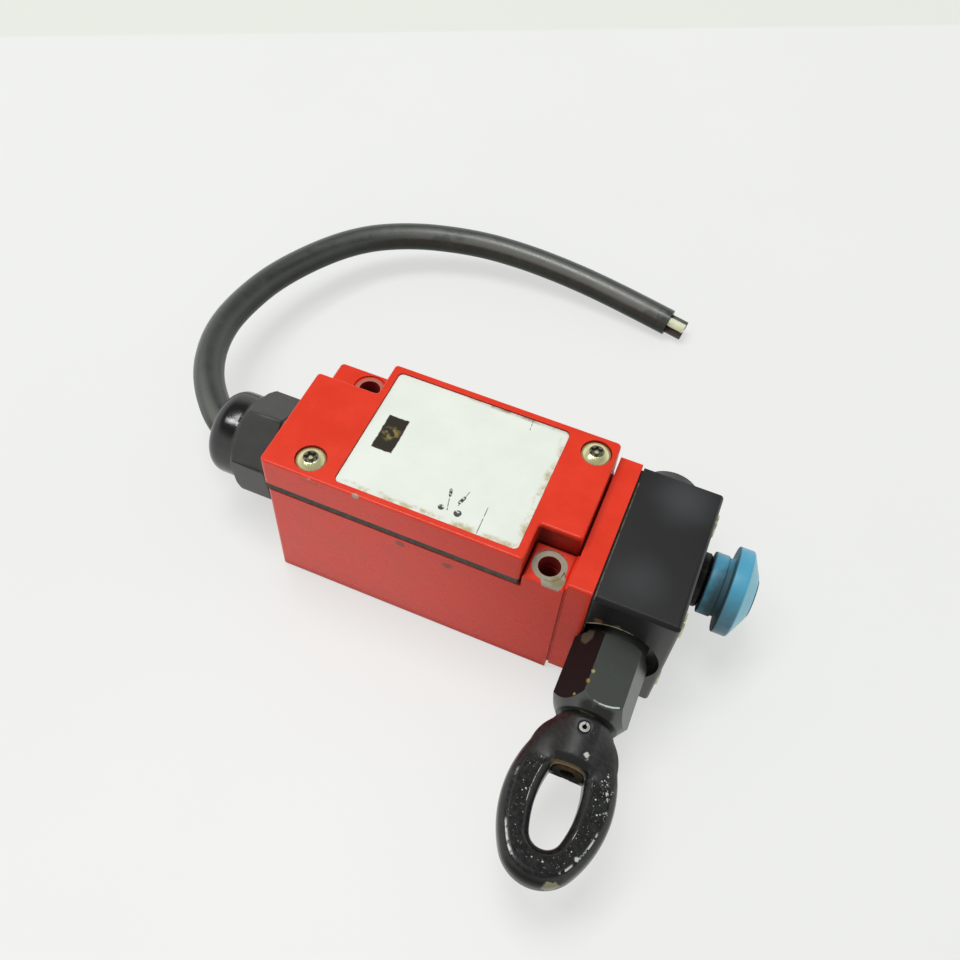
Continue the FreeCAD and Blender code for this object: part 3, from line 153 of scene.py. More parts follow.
class FinishSettings(bpy.types.PropertyGroup):
    """Colours of the finishes"""

    red: colour("Red paint", "Housing and cover", (0.76, 0.040, 0.014))
    black: colour("Black paint", "Head and rear cap", (0.005, 0.005, 0.005))
    bare_metal: colour("Bare casting", "Zinc where the paint has gone", (0.36, 0.36, 0.29))
    bronze: colour("Worn edge", "Tarnished metal on the worn edges", (0.30, 0.22, 0.12))
    bushing: colour("Bushing", "Oxide finish of the pull bushing", (0.058, 0.068, 0.060))
    eye: colour("Eye paint", "Paint of the pull eye", (0.011, 0.012, 0.011))
    blue: colour("Knob blue", "Reset knob", (0.080, 0.37, 0.55))
    gland: colour("Gland grey", "Moulded cable gland", (0.042, 0.044, 0.040))
    jacket: colour("Jacket grey", "Cable jacket", (0.036, 0.042, 0.035))
    rubber: colour("Gasket rubber", "Gaskets and seals", (0.072, 0.064, 0.052))
    label: colour("Label white", "Label plate", (0.79, 0.84, 0.76))
    ink: colour("Label ink", "Print left on the label", (0.06, 0.06, 0.055))
    zinc: colour("Yellow zinc", "Passivated screws", (0.82, 0.81, 0.43))
    steel: colour("Steel", "Bright steel", (0.62, 0.62, 0.60))
    brass: colour("Brass", "Contacts and clamps", (0.70, 0.50, 0.20))
    block: colour("Block plastic", "Contact block", (0.055, 0.055, 0.058))


class ScrewSettings(bpy.types.PropertyGroup):
    """Button head cover screws with a pinned six-lobe recess"""

    head_radius: length("Head radius", "Half the head diameter", 3.55)
    head_height: length("Head height", "From the seat to the crown", 2.3)
    rim_height: length("Rim height", "Straight rim of the head", 0.8)
    shank_radius: length("Shank radius", "Half the thread diameter", 2.0)
    shank_length: length("Shank length", "Below the seat", 15.0)
    lobe_radius: length("Lobe radius", "To the outer points of the recess", 1.68)
    root_radius: length("Root radius", "To the inner points of the recess", 1.16)
    recess_depth: length("Recess depth", "Depth of the recess below the crown", 1.1)
    pin_radius: length("Pin radius", "Pin in the middle of the recess", 0.5)


class CableSettings(bpy.types.PropertyGroup):
    """Cable with its cut end"""

    diameter: length("Diameter", "Outside of the jacket", 8.5)
    cord_length: length("Length", "From the gland seal to the cut end", 216.7)
    core_radius: length("Core radius", "Outside of one core's insulation", 1.45)
    core_pitch: length("Core pitch", "From the cable's axis to a core's axis", 2.0)
    core_length: length("Core length", "Core left bare of the jacket", 5.6)
    strand_radius: length("Strand radius", "One copper strand", 0.24)
    core_turn: rotation("Core turn", "Angle of the first core", 56)


class KnobSettings(bpy.types.PropertyGroup):
    """Reset knob"""

    collar_radius: length("Collar radius", "Back collar", 8.0)
    collar_length: length("Collar length", "Back collar", 3.6)
    neck_radius: length("Neck radius", "Between collar and cap", 7.6)
    neck_length: length("Neck length", "Between collar and cap", 1.4)
    rim_length: length("Rim length", "Straight rim of the cap", 3.8)
    front_radius: length("Front radius", "Flat front ring", 5.6)
    disc_radius: length("Disc radius", "Seat of the front disc", 4.85)
    disc_depth: length("Disc depth", "Seat of the front disc", 0.8)
    rod_radius: length("Rod bore radius", "Bore for the latch rod", 2.05)
    edge_radius: length("Edge radius", "Rounding of the moulded edges", 0.45)


class GlandSettings(bpy.types.PropertyGroup):
    """Gland nut"""

    flats: length("Across flats", "Hexagon", 24.0)
    hex_length: length("Hexagon length", "Length of the hexagon", 10.3)
    hex_turn: rotation("Hexagon turn", "Turn of the hexagon about the cable", -5)
    chamfer: length("Chamfer", "Turned end of the hexagon", 1.2)
    neck_radius: length("Neck radius", "Behind the dome", 11.25)
    neck_length: length("Neck length", "Behind the dome", 1.6)
    dome_radius: length("Dome radius", "Straight part of the dome", 11.3)
    dome_round: length("Dome rounding", "Rounding towards the mouth", 4.3)
    mouth_radius: length("Mouth radius", "Opening round the cable", 6.9)
    mouth_depth: length("Mouth depth", "Straight part of the opening", 2.0)
    throat_radius: length("Throat radius", "Throat against the cable", 4.75)
    throat_depth: length("Throat depth", "From the mouth to the seal", 5.8)


class EyeSettings(bpy.types.PropertyGroup):
    """Cast pull eye"""

    grain: length("Mesh grain", "Size of the mesh cells", 0.3)
    blend_steps: IntProperty(
        name="Blend", description="Smoothing passes over the whole eye", default=10, min=0
    )
    valley_steps: IntProperty(
        name="Valleys", description="Smoothing passes between hub and ring", default=120, min=0
    )


# Shader helpers
def feed(node, name, value):
    """Link a value to an input of a node, or set it there."""
    if isinstance(value, Value):
        node.id_data.links.new(value.socket, node.inputs[name])
    else:
        node.inputs[name].default_value = value


def add(tree, kind, inputs=None, **settings):
    """Outputs of a new node, by name and by number."""
    node = tree.nodes.new(kind)
    for name, value in settings.items():
        setattr(node, name, value)
    for name, value in (inputs or {}).items():
        feed(node, name, value)
    outputs = reversed(list(enumerate(node.outputs)))
    return {key: Value(socket) for number, socket in outputs for key in (number, socket.name)}


def most(first, *others):
    """Largest of several values."""
    for other in others:
        first = first.math("MAXIMUM", first, other)
    return first


class Value:
    """Output of a shader node, to reckon with as with a number, a vector or a mask"""

    def __init__(self, socket):
        self.socket = socket
        self.tree = socket.id_data

    def math(self, operation, *values, **settings):
        """Result of a number operation."""
        return add(self.tree, "ShaderNodeMath", dict(enumerate(values)), operation=operation, **settings)[0]

    def __add__(self, other):
        return self.math("ADD", self, other)

    def __sub__(self, other):
        return self.math("SUBTRACT", self, other)

    def __rsub__(self, other):
        return self.math("SUBTRACT", other, self)

    def __mul__(self, other):
        return self.math("MULTIPLY", self, other)

    def __rtruediv__(self, other):
        return self.math("DIVIDE", other, self)

    def __abs__(self):
        return self.math("ABSOLUTE", self)

    def vector(self, operation, *others):
        """Result of a vector operation; a distance or a dot product is a number."""
        inputs = dict(enumerate((self, *others)))
        result = "Value" if operation in {"DISTANCE", "DOT_PRODUCT"} else "Vector"
        return add(self.tree, "ShaderNodeVectorMath", inputs, operation=operation)[result]

    def scaled(self, amount):
        """Vector times a number."""
        return add(self.tree, "ShaderNodeVectorMath", {0: self, "Scale": amount}, operation="SCALE")[0]

    def xyz(self):
        """X, Y and Z of a vector."""
        parts = add(self.tree, "ShaderNodeSeparateXYZ", {0: self})
        return parts[0], parts[1], parts[2]

    def ramp(self, low, high):
        """0 at low and 1 at high, eased between them and level beyond."""
        inputs = {"Value": self, "From Min": low, "From Max": high}
        return add(self.tree, "ShaderNodeMapRange", inputs, interpolation_type="SMOOTHSTEP")["Result"]

    def between(self, first, second):
        """Number between two numbers."""
        inputs = {"Value": self, "To Min": first, "To Max": second}
        return add(self.tree, "ShaderNodeMapRange", inputs)["Result"]

    def mix(self, first, second):
        """Colour between two colours; a plain colour is three numbers."""
        ends = [value if isinstance(value, Value) else (*value, 1.0) for value in (first, second)]
        return add(self.tree, "ShaderNodeMix", {0: self, 6: ends[0], 7: ends[1]}, data_type="RGBA")[2]


# Shared effects
def noise(tree, entry, **settings):
    """Noise of the size that the group is given."""
    inputs = {"Vector": entry["Vector"], "Scale": 1.0 / entry["Size"], **settings}
    return add(tree, "ShaderNodeTexNoise", inputs)["Fac"]


def wobble(tree, entry):
    """Uneven shift that makes an outline ragged."""
    return (noise(tree, entry, Detail=3.0) - 0.5) * entry["Ragged"]


def mottle_group(tree, entry):
    """Blotches of a given size."""
    return noise(tree, entry, Detail=4.0, Roughness=0.6).ramp(entry["Low"], entry["High"])


def worn_edge_group(tree, entry):
    """Broken wear along the sharp and the rounded edges of a casting."""
    rounded = add(tree, "ShaderNodeBevel", {"Radius": entry["Width"] * MM}, samples=6)[0]
    plain = add(tree, "ShaderNodeNewGeometry")["Normal"]
    sharp = (1.0 - rounded.vector("DOT_PRODUCT", plain)).ramp(0.01, 0.12)
    squarest = most(*add(tree, "ShaderNodeTexCoord")["Normal"].vector("ABSOLUTE").xyz())
    soft = (1.0 - squarest).ramp(0.08, 0.24)
    left = noise(tree, entry, Detail=5.0, Roughness=0.65) - (0.78 - entry["Cover"] * 0.56)
    return most(sharp, soft * entry["Round"]) * left.ramp(-0.03, 0.05)


def spot_group(tree, entry):
    """Ragged round patch about a point."""
    away = entry["Vector"].vector("DISTANCE", entry["Centre"])
    return (entry["Reach"] - (away + wobble(tree, entry))).ramp(0.0, entry["Soft"])


def panel_group(tree, entry):
    """Ragged box about a point."""
    offset = entry["Vector"].vector("SUBTRACT", entry["Centre"]).vector("ABSOLUTE")
    x, y, z = entry["Half"].vector("SUBTRACT", offset).xyz()
    least = x.math("MINIMUM", x.math("MINIMUM", x, y), z)
    return (least + wobble(tree, entry)).ramp(0.0, entry["Soft"])


def stroke_group(tree, entry):
    """Drawn stroke between two points, or a dot where they nearly meet."""
    offset = entry["Vector"].vector("SUBTRACT", entry["Start"])
    run = entry["Stop"].vector("SUBTRACT", entry["Start"])
    along = offset.vector("DOT_PRODUCT", run)
    share = along.math("DIVIDE", along, run.vector("DOT_PRODUCT", run), use_clamp=True)
    away = offset.vector("DISTANCE", run.scaled(share))
    return (entry["Width"] * 0.5 - away).ramp(-0.04, 0.08)


def corner_shade_group(tree, entry):
    """Painted shade: places that walls close by leave little open."""
    inputs = {"Distance": entry["Reach"] * MM}
    open_share = add(tree, "ShaderNodeAmbientOcclusion", inputs, samples=8)["AO"]
    return open_share.ramp(entry["Low"], entry["High"])


def flecks_group(tree, entry):
    """Scattered round flecks of uneven size; the share says how many there are."""
    inputs = {"Vector": entry["Vector"], "Scale": 1.0 / entry["Size"]}
    cells = add(tree, "ShaderNodeTexVoronoi", inputs)
    chance = add(tree, "ShaderNodeSeparateColor", {0: cells["Color"]})
    chosen = chance[0].math("LESS_THAN", chance[0], entry["Share"])
    return (chance[1].between(0.12, 0.42) - cells["Distance"]).ramp(0.0, 0.14) * chosen


# Builder and inputs of each effect
OUTLINE = {"Ragged": 0.5, "Soft": 0.2, "Size": 1.0}
EFFECTS = {
    "Mottle": (mottle_group, {"Vector": ORIGIN, "Size": 1.0, "Low": 0.4, "High": 0.6}),
    "Worn edge": (
        worn_edge_group,
        {"Vector": ORIGIN, "Width": 0.4, "Size": 1.5, "Cover": 0.5, "Round": 1.0},
    ),
    "Spot": (spot_group, {"Vector": ORIGIN, "Centre": ORIGIN, "Reach": 1.0, **OUTLINE}),
    "Panel": (panel_group, {"Vector": ORIGIN, "Centre": ORIGIN, "Half": (1.0, 1.0, 1.0), **OUTLINE}),
    "Stroke": (stroke_group, {"Vector": ORIGIN, "Start": ORIGIN, "Stop": (1.0, 0.0, 0.0), "Width": 0.3}),
    "Corner shade": (corner_shade_group, {"Reach": 5.0, "Low": 0.6, "High": 0.3}),
    "Flecks": (flecks_group, {"Vector": ORIGIN, "Size": 0.6, "Share": 0.5}),
}


def build_group(name):
    """Shader node group of an effect, which puts out a mask."""
    builder, inputs = EFFECTS[name]
    tree = bpy.data.node_groups.new(name, "ShaderNodeTree")
    for socket, value in inputs.items():
        kind = "NodeSocketVector" if isinstance(value, tuple) else "NodeSocketFloat"
        tree.interface.new_socket(socket, in_out="INPUT", socket_type=kind).default_value = value
    tree.interface.new_socket("Mask", in_out="OUTPUT", socket_type="NodeSocketFloat")
    entry = add(tree, "NodeGroupInput")
    feed(tree.nodes.new("NodeGroupOutput"), "Mask", builder(tree, entry))
    return tree


def effect(tree, name, **inputs):
    """Mask of a shared effect with its own values; its group is built the first time it is asked for."""
    group = bpy.data.node_groups.get(name) or build_group(name)
    return add(tree, "ShaderNodeGroup", inputs, node_tree=group)["Mask"]


# Material helpers
class Paint:
    """Finish in the making: its shader, its coordinates in millimetres and its colour so far"""

    def __init__(self, name):
        material = bpy.data.materials.new(name)
        material.use_nodes = True
        self.tree = material.node_tree
        self.shader = self.tree.nodes["Principled BSDF"]
        self.place = add(self.tree, "ShaderNodeTexCoord")["Object"].scaled(1 / MM)
        self.base = None

    def feed(self, name, value):
        """Link a value to an input of the shader, or set a plain number there."""
        feed(self.shader, name, value)

    def coat(self, mask, rgb):
        """Lay another colour on where the mask is."""
        self.base = mask.mix(self.base, rgb)

    def bump(self, height, depth, edge=0.0):
        """Surface relief of a depth in millimetres, over edges rounded by a radius."""
        inputs = {"Height": height, "Distance": depth * MM, "Strength": 1.0}
        if edge:
            inputs["Normal"] = add(self.tree, "ShaderNodeBevel", {"Radius": edge * MM}, samples=4)[0]
        self.feed("Normal", add(self.tree, "ShaderNodeBump", inputs)[0])

    def facing(self):
        """Direction that the surface faces, in the part's own axes."""
        return add(self.tree, "ShaderNodeTexCoord")["Normal"]

    def flattened(self, axis):
        """Coordinates with one axis left out."""
        parts = dict(enumerate(self.place.xyz()))
        return add(self.tree, "ShaderNodeCombineXYZ", {**parts, axis: 0.0})[0]

    def mottle(self, size, low=0.3, high=0.7):
        """Blotches of a size in millimetres; nearer limits make them harder."""
        return effect(self.tree, "Mottle", Vector=self.place, Size=size, Low=low, High=high)

    def spot(self, centre, reach, ragged, soft, size=1.0, place=None):
        """Round patch; ragged, soft and size shape its outline."""
        inputs = {"Centre": centre, "Reach": reach, "Ragged": ragged, "Soft": soft, "Size": size}
        return effect(self.tree, "Spot", Vector=place or self.place, **inputs)

    def spots(self, rows, **outline):
        """Several round patches, each a centre and a reach."""
        return most(*[self.spot(centre, reach, **outline) for centre, reach in rows])

    def panel(self, centre, half, ragged, soft, size):
        """Box-shaped patch of the given half sizes."""
        inputs = {"Centre": centre, "Half": half, "Ragged": ragged, "Soft": soft, "Size": size}
        return effect(self.tree, "Panel", Vector=self.place, **inputs)

    def stroke(self, start, stop, width):
        """Thin line from start to stop."""
        return effect(self.tree, "Stroke", Vector=self.place, Start=start, Stop=stop, Width=width)

    def flecks(self, size, share):
        """Round flecks on a share of the cells of a size."""
        return effect(self.tree, "Flecks", Vector=self.place, Size=size, Share=share)


def made(name, maker, *values):
    """The finish of that name, made the first time it is asked for."""
    if name not in bpy.data.materials:
        paint = Paint(name)
        maker(paint, *values)
        paint.feed("Base Color", paint.base)
    return bpy.data.materials[name]


def finish():
    """Colours that the user can change."""
    return bpy.context.scene.switch_finish


def tint(rgb, amount):
    """A colour made darker or lighter."""
    return tuple(min(1.0, channel * amount) for channel in rgb)


# Finishes
def painted_base(paint, rgb, edge):
    """Sprayed paint: faint cloudiness, orange peel and softened edges."""
    paint.base = paint.mottle(9.0).mix(tint(rgb, 0.95), tint(rgb, 1.04))
    paint.bump(paint.mottle(0.55, 0.2, 0.8), 0.006, edge)


def red_paint(paint):
    """Red paint of the housing and cover: small chips on the edges; painted shade darkens and dulls the
    corners, and darkens the front faces towards the right.
    """
    painted_base(paint, finish().red, 0.2)
    paint.coat(paint.mottle(2.4, 0.68, 0.74) * 0.18, (0.20, 0.03, 0.02))
    along = paint.place.xyz()[0]
    before = along.ramp(GROOVE_FROM, GROOVE_FROM - 0.4)
    beyond = along.ramp(GROOVE_TO, GROOVE_TO + 0.4)
    # Painted shade: the corners, found by ambient occlusion, are painted dark red, except in the groove.
    corner = effect(paint.tree, "Corner shade", Reach=7.0, Low=0.75, High=0.3) * most(before, beyond)
    paint.coat(corner * 0.8, (0.30, 0.012, 0.006))
    # Painted shade: faces towards the front are painted darker red and less glossy towards the right.
    front = paint.facing().xyz()[1].ramp(-0.7, -0.95)
    front_shade = front * along.ramp(-20.0, 45.0)
    paint.coat(front_shade * 0.35, (0.48, 0.024, 0.010))
    paint.feed("Specular IOR Level", front_shade.between(front.between(0.32, 0.40), 0.12))
    even = paint.mottle(9.0).between(0.24, 0.31)
    paint.feed("Roughness", corner.between(even, 0.9))
    chips = {"Width": 0.25, "Size": 2.2, "Cover": 0.12, "Round": 0.6}
    paint.coat(effect(paint.tree, "Worn edge", Vector=paint.place, **chips), (0.16, 0.10, 0.07))


def cover_paint(paint):
    """The cover's paint has a rubbed dark spot under its front edge, a chip beside the label and painted
    shade on the side of its recess over the front ear.
    """
    red_paint(paint)
    rub = paint.panel((-27.4, -20.7, 45.1), (2.9, 1.0, 0.55), ragged=1.2, soft=0.6, size=0.9)
    paint.coat(rub * 0.55, (0.10, 0.05, 0.04))
    chip = paint.spot((-16.2, -20.2, 46.5), 1.1, ragged=0.9, soft=0.3, size=0.8)
    paint.coat(chip, (0.42, 0.32, 0.24))
    # Painted shade: the side of the cover's recess over the front ear is painted dark red, darkest furthest
    # in.
    shaded_wall = paint.panel((30.0, -9.4, 41.0), (6.0, 0.7, 4.7), ragged=0.3, soft=0.5, size=1.5)
    deeper_shade = paint.place.xyz()[0].ramp(30.5, 26.5)
    paint.coat(shaded_wall * 0.85, deeper_shade.mix((0.26, 0.014, 0.010), (0.085, 0.012, 0.010)))
    pale = paint.spot((-28.0, -20.6, 46.2), 0.9, ragged=0.8, soft=0.4, size=0.8)
    paint.coat(pale, (0.75, 0.40, 0.32))


def housing_paint(paint):
    """The housing's paint has gone from the seats of the mounting holes and round the filed notch."""
    red_paint(paint)
    for centre in ((-5.1, -20.0, 33.2), (7.3, -20.0, 31.7)):
        scuff = paint.spot(centre, 1.6, ragged=2.4, soft=1.0, size=1.2)
        paint.coat(scuff * 0.7, (0.12, 0.04, 0.03))
    plan = paint.flattened(2)
    across, height = paint.place.xyz()[1:]
    on_top = height.ramp(*EAR_LEVEL)
    seat = paint.spot(FRONT_HOLE, 4.2, ragged=0.3, soft=0.1, size=2.0, place=plan)
    filed = paint.spot((31.9, -18.0, 0.0), 3.0, ragged=0.8, soft=0.25, size=2.5, place=plan)
    bare = most(seat, filed) * on_top
    stain = paint.mottle(1.2, 0.35, 0.7) * 0.5
    # Painted shade: a darker olive patch over the right part of the filed notch, whose side is in shade.
    notch_shade = paint.spot((33.2, -18.2, 0.0), 2.2, ragged=1.0, soft=1.2, size=1.5, place=plan) * 0.8
    upright = paint.facing().xyz()[2].ramp(0.7, 0.3)
    # Painted light: the front step of the filed notch, which the lamps hardly reach, is painted much paler
    # than the bare metal.
    step = filed * upright * across.ramp(-19.7, -19.3)
    metal = stain.mix(finish().bare_metal, tint(finish().bronze, 1.2))
    metal = notch_shade.mix(metal, (0.25, 0.22, 0.11))
    metal = step.mix(metal, tint(finish().bare_metal, 2.6))
    paint.coat(bare, metal)
    rear = paint.spot(REAR_HOLE, 3.8, ragged=0.4, soft=0.3, size=1.5, place=plan)
    paint.coat(rear * on_top * 0.85, (0.40, 0.19, 0.14))
    # Painted shade: the bores of the mounting holes are painted dark red.
    for centre in (FRONT_HOLE, REAR_HOLE):
        bore = paint.spot(centre, 2.70, ragged=0.0, soft=0.02, place=plan)
        paint.coat(bore, (0.28, 0.025, 0.018))
    paint.feed("Metallic", bare * 0.2)


def black_paint(paint, rgb):
    """Satin black paint, rubbed to tarnished metal along one top edge and on the rim of the front recess;
    bluish clouds on top are painted reflection with dust haze.
    """
    painted_base(paint, rgb, 0.1)
    facing = paint.facing().xyz()
    slanted = abs(facing[1] * facing[2]).ramp(0.03, 0.2)
    paint.feed("Specular IOR Level", slanted.between(0.75, 0.3))
    paint.feed("Roughness", slanted.between(0.34, 0.65))
    # Bluish clouds on the top: painted reflection, with dust haze.
    for centre, reach, amount in (((53.5, 14.3, 41.7), 11.0, 0.75), ((50.0, -11.0, 41.7), 9.0, 0.4)):
        reflection_and_haze = paint.spot(centre, reach, ragged=3.0, soft=reach, size=6.0)
        paint.coat(reflection_and_haze * amount, (0.050, 0.056, 0.060))
    paint.coat(paint.mottle(0.5, 0.71, 0.76) * 0.3, (0.12, 0.12, 0.12))
    for centre, reach in (((44.4, -19.75, 32.9), 1.3), ((48.9, -19.75, 33.3), 1.0)):
        paint.coat(paint.spot(centre, reach, ragged=1.2, soft=0.5, size=1.0), (0.12, 0.065, 0.03))
    front = paint.flattened(1)
    outer = paint.spot(PULL_AXIS, 11.8, ragged=0.3, soft=0.2, size=1.5, place=front)
    inner = paint.spot(PULL_AXIS, 11.25, ragged=0.0, soft=0.1, place=front)
    zone = paint.spot((46.6, -19.75, 32.0), 6.6, ragged=1.0, soft=0.8, size=1.5)
    rim = outer * (1.0 - inner) * zone
    edge = paint.panel((41.9, -3.0, 41.5), (0.32, 17.5, 0.6), ragged=0.3, soft=0.2, size=1.5)
    broken = paint.mottle(1.6, 0.36, 0.56)
    paint.coat(edge * broken.between(0.25, 0.9), (0.14, 0.13, 0.09))
    paint.coat(rim * broken, (0.44, 0.41, 0.26))


def bushing_oxide(paint):
    """Dark oxide with small chips; the side towards the housing is painted dark reddish brown as a reflection
    of the red housing, one lower edge carries a painted highlight, and the nose cone has darker patches.
    """
    painted_base(paint, finish().bushing, 0.3)
    paint.coat(paint.mottle(1.4, 0.35, 0.65) * 0.25, (0.05, 0.045, 0.035))
    facing = paint.facing()
    # Painted reflection: faces towards the housing are painted dark reddish brown, as if mirroring the red
    # housing, and made less glossy.
    brown = facing.vector("DOT_PRODUCT", (-0.73, 0.0, 0.68)).ramp(0.75, 0.95)
    paint.coat(brown, (0.008, 0.004, 0.004))
    paint.feed("Specular IOR Level", brown.between(0.65, 0.25))
    band = paint.spot((43.3, -21.0, 26.5), 2.2, ragged=1.2, soft=0.6, size=1.0)
    paint.coat(band, (0.085, 0.070, 0.045))
    rough = brown.between(0.30, 0.6)
    cone = facing.xyz()[1].ramp(-0.3, -0.5)
    # Darker, rougher patches on the nose cone next to the eye.
    for centre, reach in (((52.2, -38.9, 28.2), 3.6), ((48.6, -38.2, 28.9), 2.4)):
        darkened = paint.spot(centre, reach, ragged=1.6, soft=1.6, size=1.5) * cone
        paint.coat(darkened, (0.006, 0.006, 0.004))
        rough = darkened.between(rough, 0.8)
    paint.feed("Roughness", rough)
    chips = (
        ((47.2, -30.7, 30.4), 0.6, (0.42, 0.36, 0.17)),
        ((46.9, -33.2, 30.4), 0.65, (0.34, 0.22, 0.04)),
        ((45.1, -36.6, 28.5), 0.5, (0.34, 0.26, 0.10)),
    )
    for centre, reach, rgb in chips:
        paint.coat(paint.spot(centre, reach, ragged=0.9, soft=0.4, size=0.6), rgb)
    # Painted highlight: a bright line along the lower edge of the middle flat.
    rubbed = (
        (49.6, -36.86, 29.84),
        (51.0, -36.99, 29.52),
        (52.5, -36.82, 29.17),
        (54.0, -36.42, 28.83),
        (55.3, -35.8, 28.53),
    )
    for start, stop, share in zip(rubbed, rubbed[1:], (0.3, 0.7, 0.9, 0.9)):
        paint.coat(paint.stroke(start, stop, 0.42) * share, (0.62, 0.68, 0.60))


def eye_paint(paint):
    """Thick black paint: rough speckled flats, pale broken lines along their edges that are partly worn
    through and partly painted highlight, pale flecks and a bare tip.
    """
    facing = paint.facing().xyz()
    along = paint.place.xyz()[1]
    upward = abs(facing[2])
    flat = upward.ramp(0.955, 0.985) * along.ramp(-50.0, -53.5)
    border = upward.ramp(0.89, 0.925) * upward.ramp(0.965, 0.94)
    end_face = facing[1].ramp(-0.5, -0.8)

    coarse = paint.mottle(0.9, 0.35, 0.65)
    paint.base = coarse.mix(tint(finish().eye, 0.6), tint(finish().eye, 1.6))
    paint.coat(paint.mottle(1.1, 0.52, 0.66) * flat, (0.026, 0.028, 0.025))
    paint.coat(end_face, (0.008, 0.007, 0.005))
    brown = paint.spot((48.6, -51.6, 27.0), 4.4, ragged=1.6, soft=1.6, size=1.5)
    paint.coat(brown * end_face, (0.13, 0.085, 0.022))
    lip = paint.panel((PULL_AXIS[0], -51.0, 27.4), (5.6, 2.0, 1.5), ragged=0.9, soft=1.0, size=1.2)
    lip = lip * (1.0 - end_face)
    paint.coat(lip, (0.005, 0.005, 0.004))

    worn_and_glint_lines = (
        ((41.9, -70.4, 25.0), 4.2),
        ((58.9, -65.6, 25.2), 4.2),
        ((55.6, -71.2, 25.4), 2.2),
        ((44.1, -57.5, 25.2), 5.0),
        ((54.9, -53.3, 25.2), 1.0),
    )
    crowds = (
        ((57.3, -50.8, 25.6), 1.8),
        ((58.8, -52.9, 25.5), 1.8),
        ((59.0, -55.4, 25.6), 1.5),
        ((59.8, -58.5, 25.3), 1.2),
        ((52.5, -48.5, 27.4), 1.1),
        ((52.0, -46.3, 27.7), 0.7),
        ((52.2, -43.2, 27.9), 0.7),
    )
    blobs = (
        ((57.3, -68.8, 25.3), 0.65),
        ((52.1, -48.3, 27.6), 0.75),
        ((58.4, -51.9, 25.6), 0.45),
        ((58.9, -53.7, 25.5), 0.5),
        ((59.3, -55.0, 25.4), 0.35),
        ((59.9, -57.6, 25.3), 0.35),
    )
    # Pale broken lines along the edges of the flats: partly worn through, partly painted highlight.
    worn = paint.spots(worn_and_glint_lines, ragged=2.0, soft=1.0, size=2.0) * border * paint.mottle(1.0, 0.40, 0.50)
    # Crowded flecks are chipped paint, and on the hub's right side partly painted highlight.
    crowd = paint.spots(crowds, ragged=1.0, soft=0.8, size=1.0)
    crowded = most(paint.flecks(0.55, 0.9), paint.flecks(0.95, 0.8)) * crowd
    rare = most(paint.flecks(0.6, 0.13), paint.flecks(0.4, 0.22) * 0.3) * flat
    large = paint.spots(blobs, ragged=0.9, soft=0.4, size=0.6)
    paint.coat(most(worn, crowded, rare, large), (0.56, 0.59, 0.54))
    chip = paint.spot((54.3, -75.6, 22.8), 2.2, ragged=1.8, soft=0.5, size=1.2)
    paint.coat(chip, (0.25, 0.24, 0.15))

    hub = along.ramp(-53.0, -50.0)
    paint.feed("Roughness", lip.between(most(flat, hub).between(0.24, 0.47), 0.85))
    paint.feed("Specular IOR Level", most(flat, end_face).between(0.5, 0.15))
    paint.bump((coarse + paint.mottle(0.3)) * flat.between(0.08, 1.0), 0.05)


def moulded_plastic(paint, rgb, rough, grain, edge):
    """Moulded plastic with a fine grain and slightly soiled."""
    cloud = paint.mottle(4.0)
    paint.base = cloud.mix(tint(rgb, 0.9), tint(rgb, 1.08))
    paint.feed("Roughness", cloud.between(rough - 0.04, rough + 0.05))
    paint.bump(paint.mottle(0.3), grain, edge)


def knob_blue(paint):
    """Blue plastic, dirty between collar and cap and on its underside, with painted shade at the back of the
    collar; the front cone is painted paler as a highlight.
    """
    along, across = paint.place.xyz()[:2]
    grime_and_shade = paint.mottle(3.0, 0.2, 0.8)
    lower = across.ramp(13.0, 1.0)
    start = lower.between(69.0, 65.6) + grime_and_shade.between(0.7, -0.7)
    groove = (along - start).ramp(-1.4, 2.2) * along.ramp(70.8, 70.5)
    # Painted shade: the back of the collar is darkened.
    shaded_back = along.ramp(66.0, 65.4)
    # Dirt between collar and cap, together with the painted shade at the back of the collar.
    soiled_and_shaded = most(groove, shaded_back) * lower.between(0.7, 0.85)
    # Painted highlight: the front cone is painted paler.
    cone = along.ramp(73.9, 74.6)
    film = across.ramp(4.0, -4.5) * grime_and_shade.between(0.55, 0.9) * (1.0 - cone)
    paint.base = paint.mottle(5.0).mix(tint(finish().blue, 0.95), tint(finish().blue, 1.05))
    paint.coat(cone * 0.8, (0.27, 0.66, 0.80))
    paint.coat(film, (0.050, 0.095, 0.105))
    paint.coat(soiled_and_shaded, (0.028, 0.042, 0.040))
    paint.feed("Roughness", soiled_and_shaded.between(0.33, 0.75))
    paint.feed("Specular IOR Level", 0.4)
    paint.bump(paint.mottle(0.4), 0.004)


def gland_plastic(paint):
    """Gland: matt hexagons with a dark line along one edge, glossier dome."""
    rgb = finish().gland
    dome = paint.place.xyz()[0].ramp(-57.6, -58.4)
    # A dark line along one lower hexagon edge.
    darkened = paint.stroke((-56.6, -12.5, 28.0), (-47.9, -12.5, 28.0), 0.7)
    paint.base = paint.mottle(4.0).mix(tint(rgb, 0.9), tint(rgb, 1.08))
    paint.coat(dome, tint(rgb, 0.12))
    paint.coat(darkened, tint(rgb, 0.12))
    paint.feed("Roughness", dome.between(0.42, 0.16))
    paint.feed("Specular IOR Level", dome.between(0.5, 0.8))
    paint.bump(paint.mottle(0.3), 0.004, 0.2)


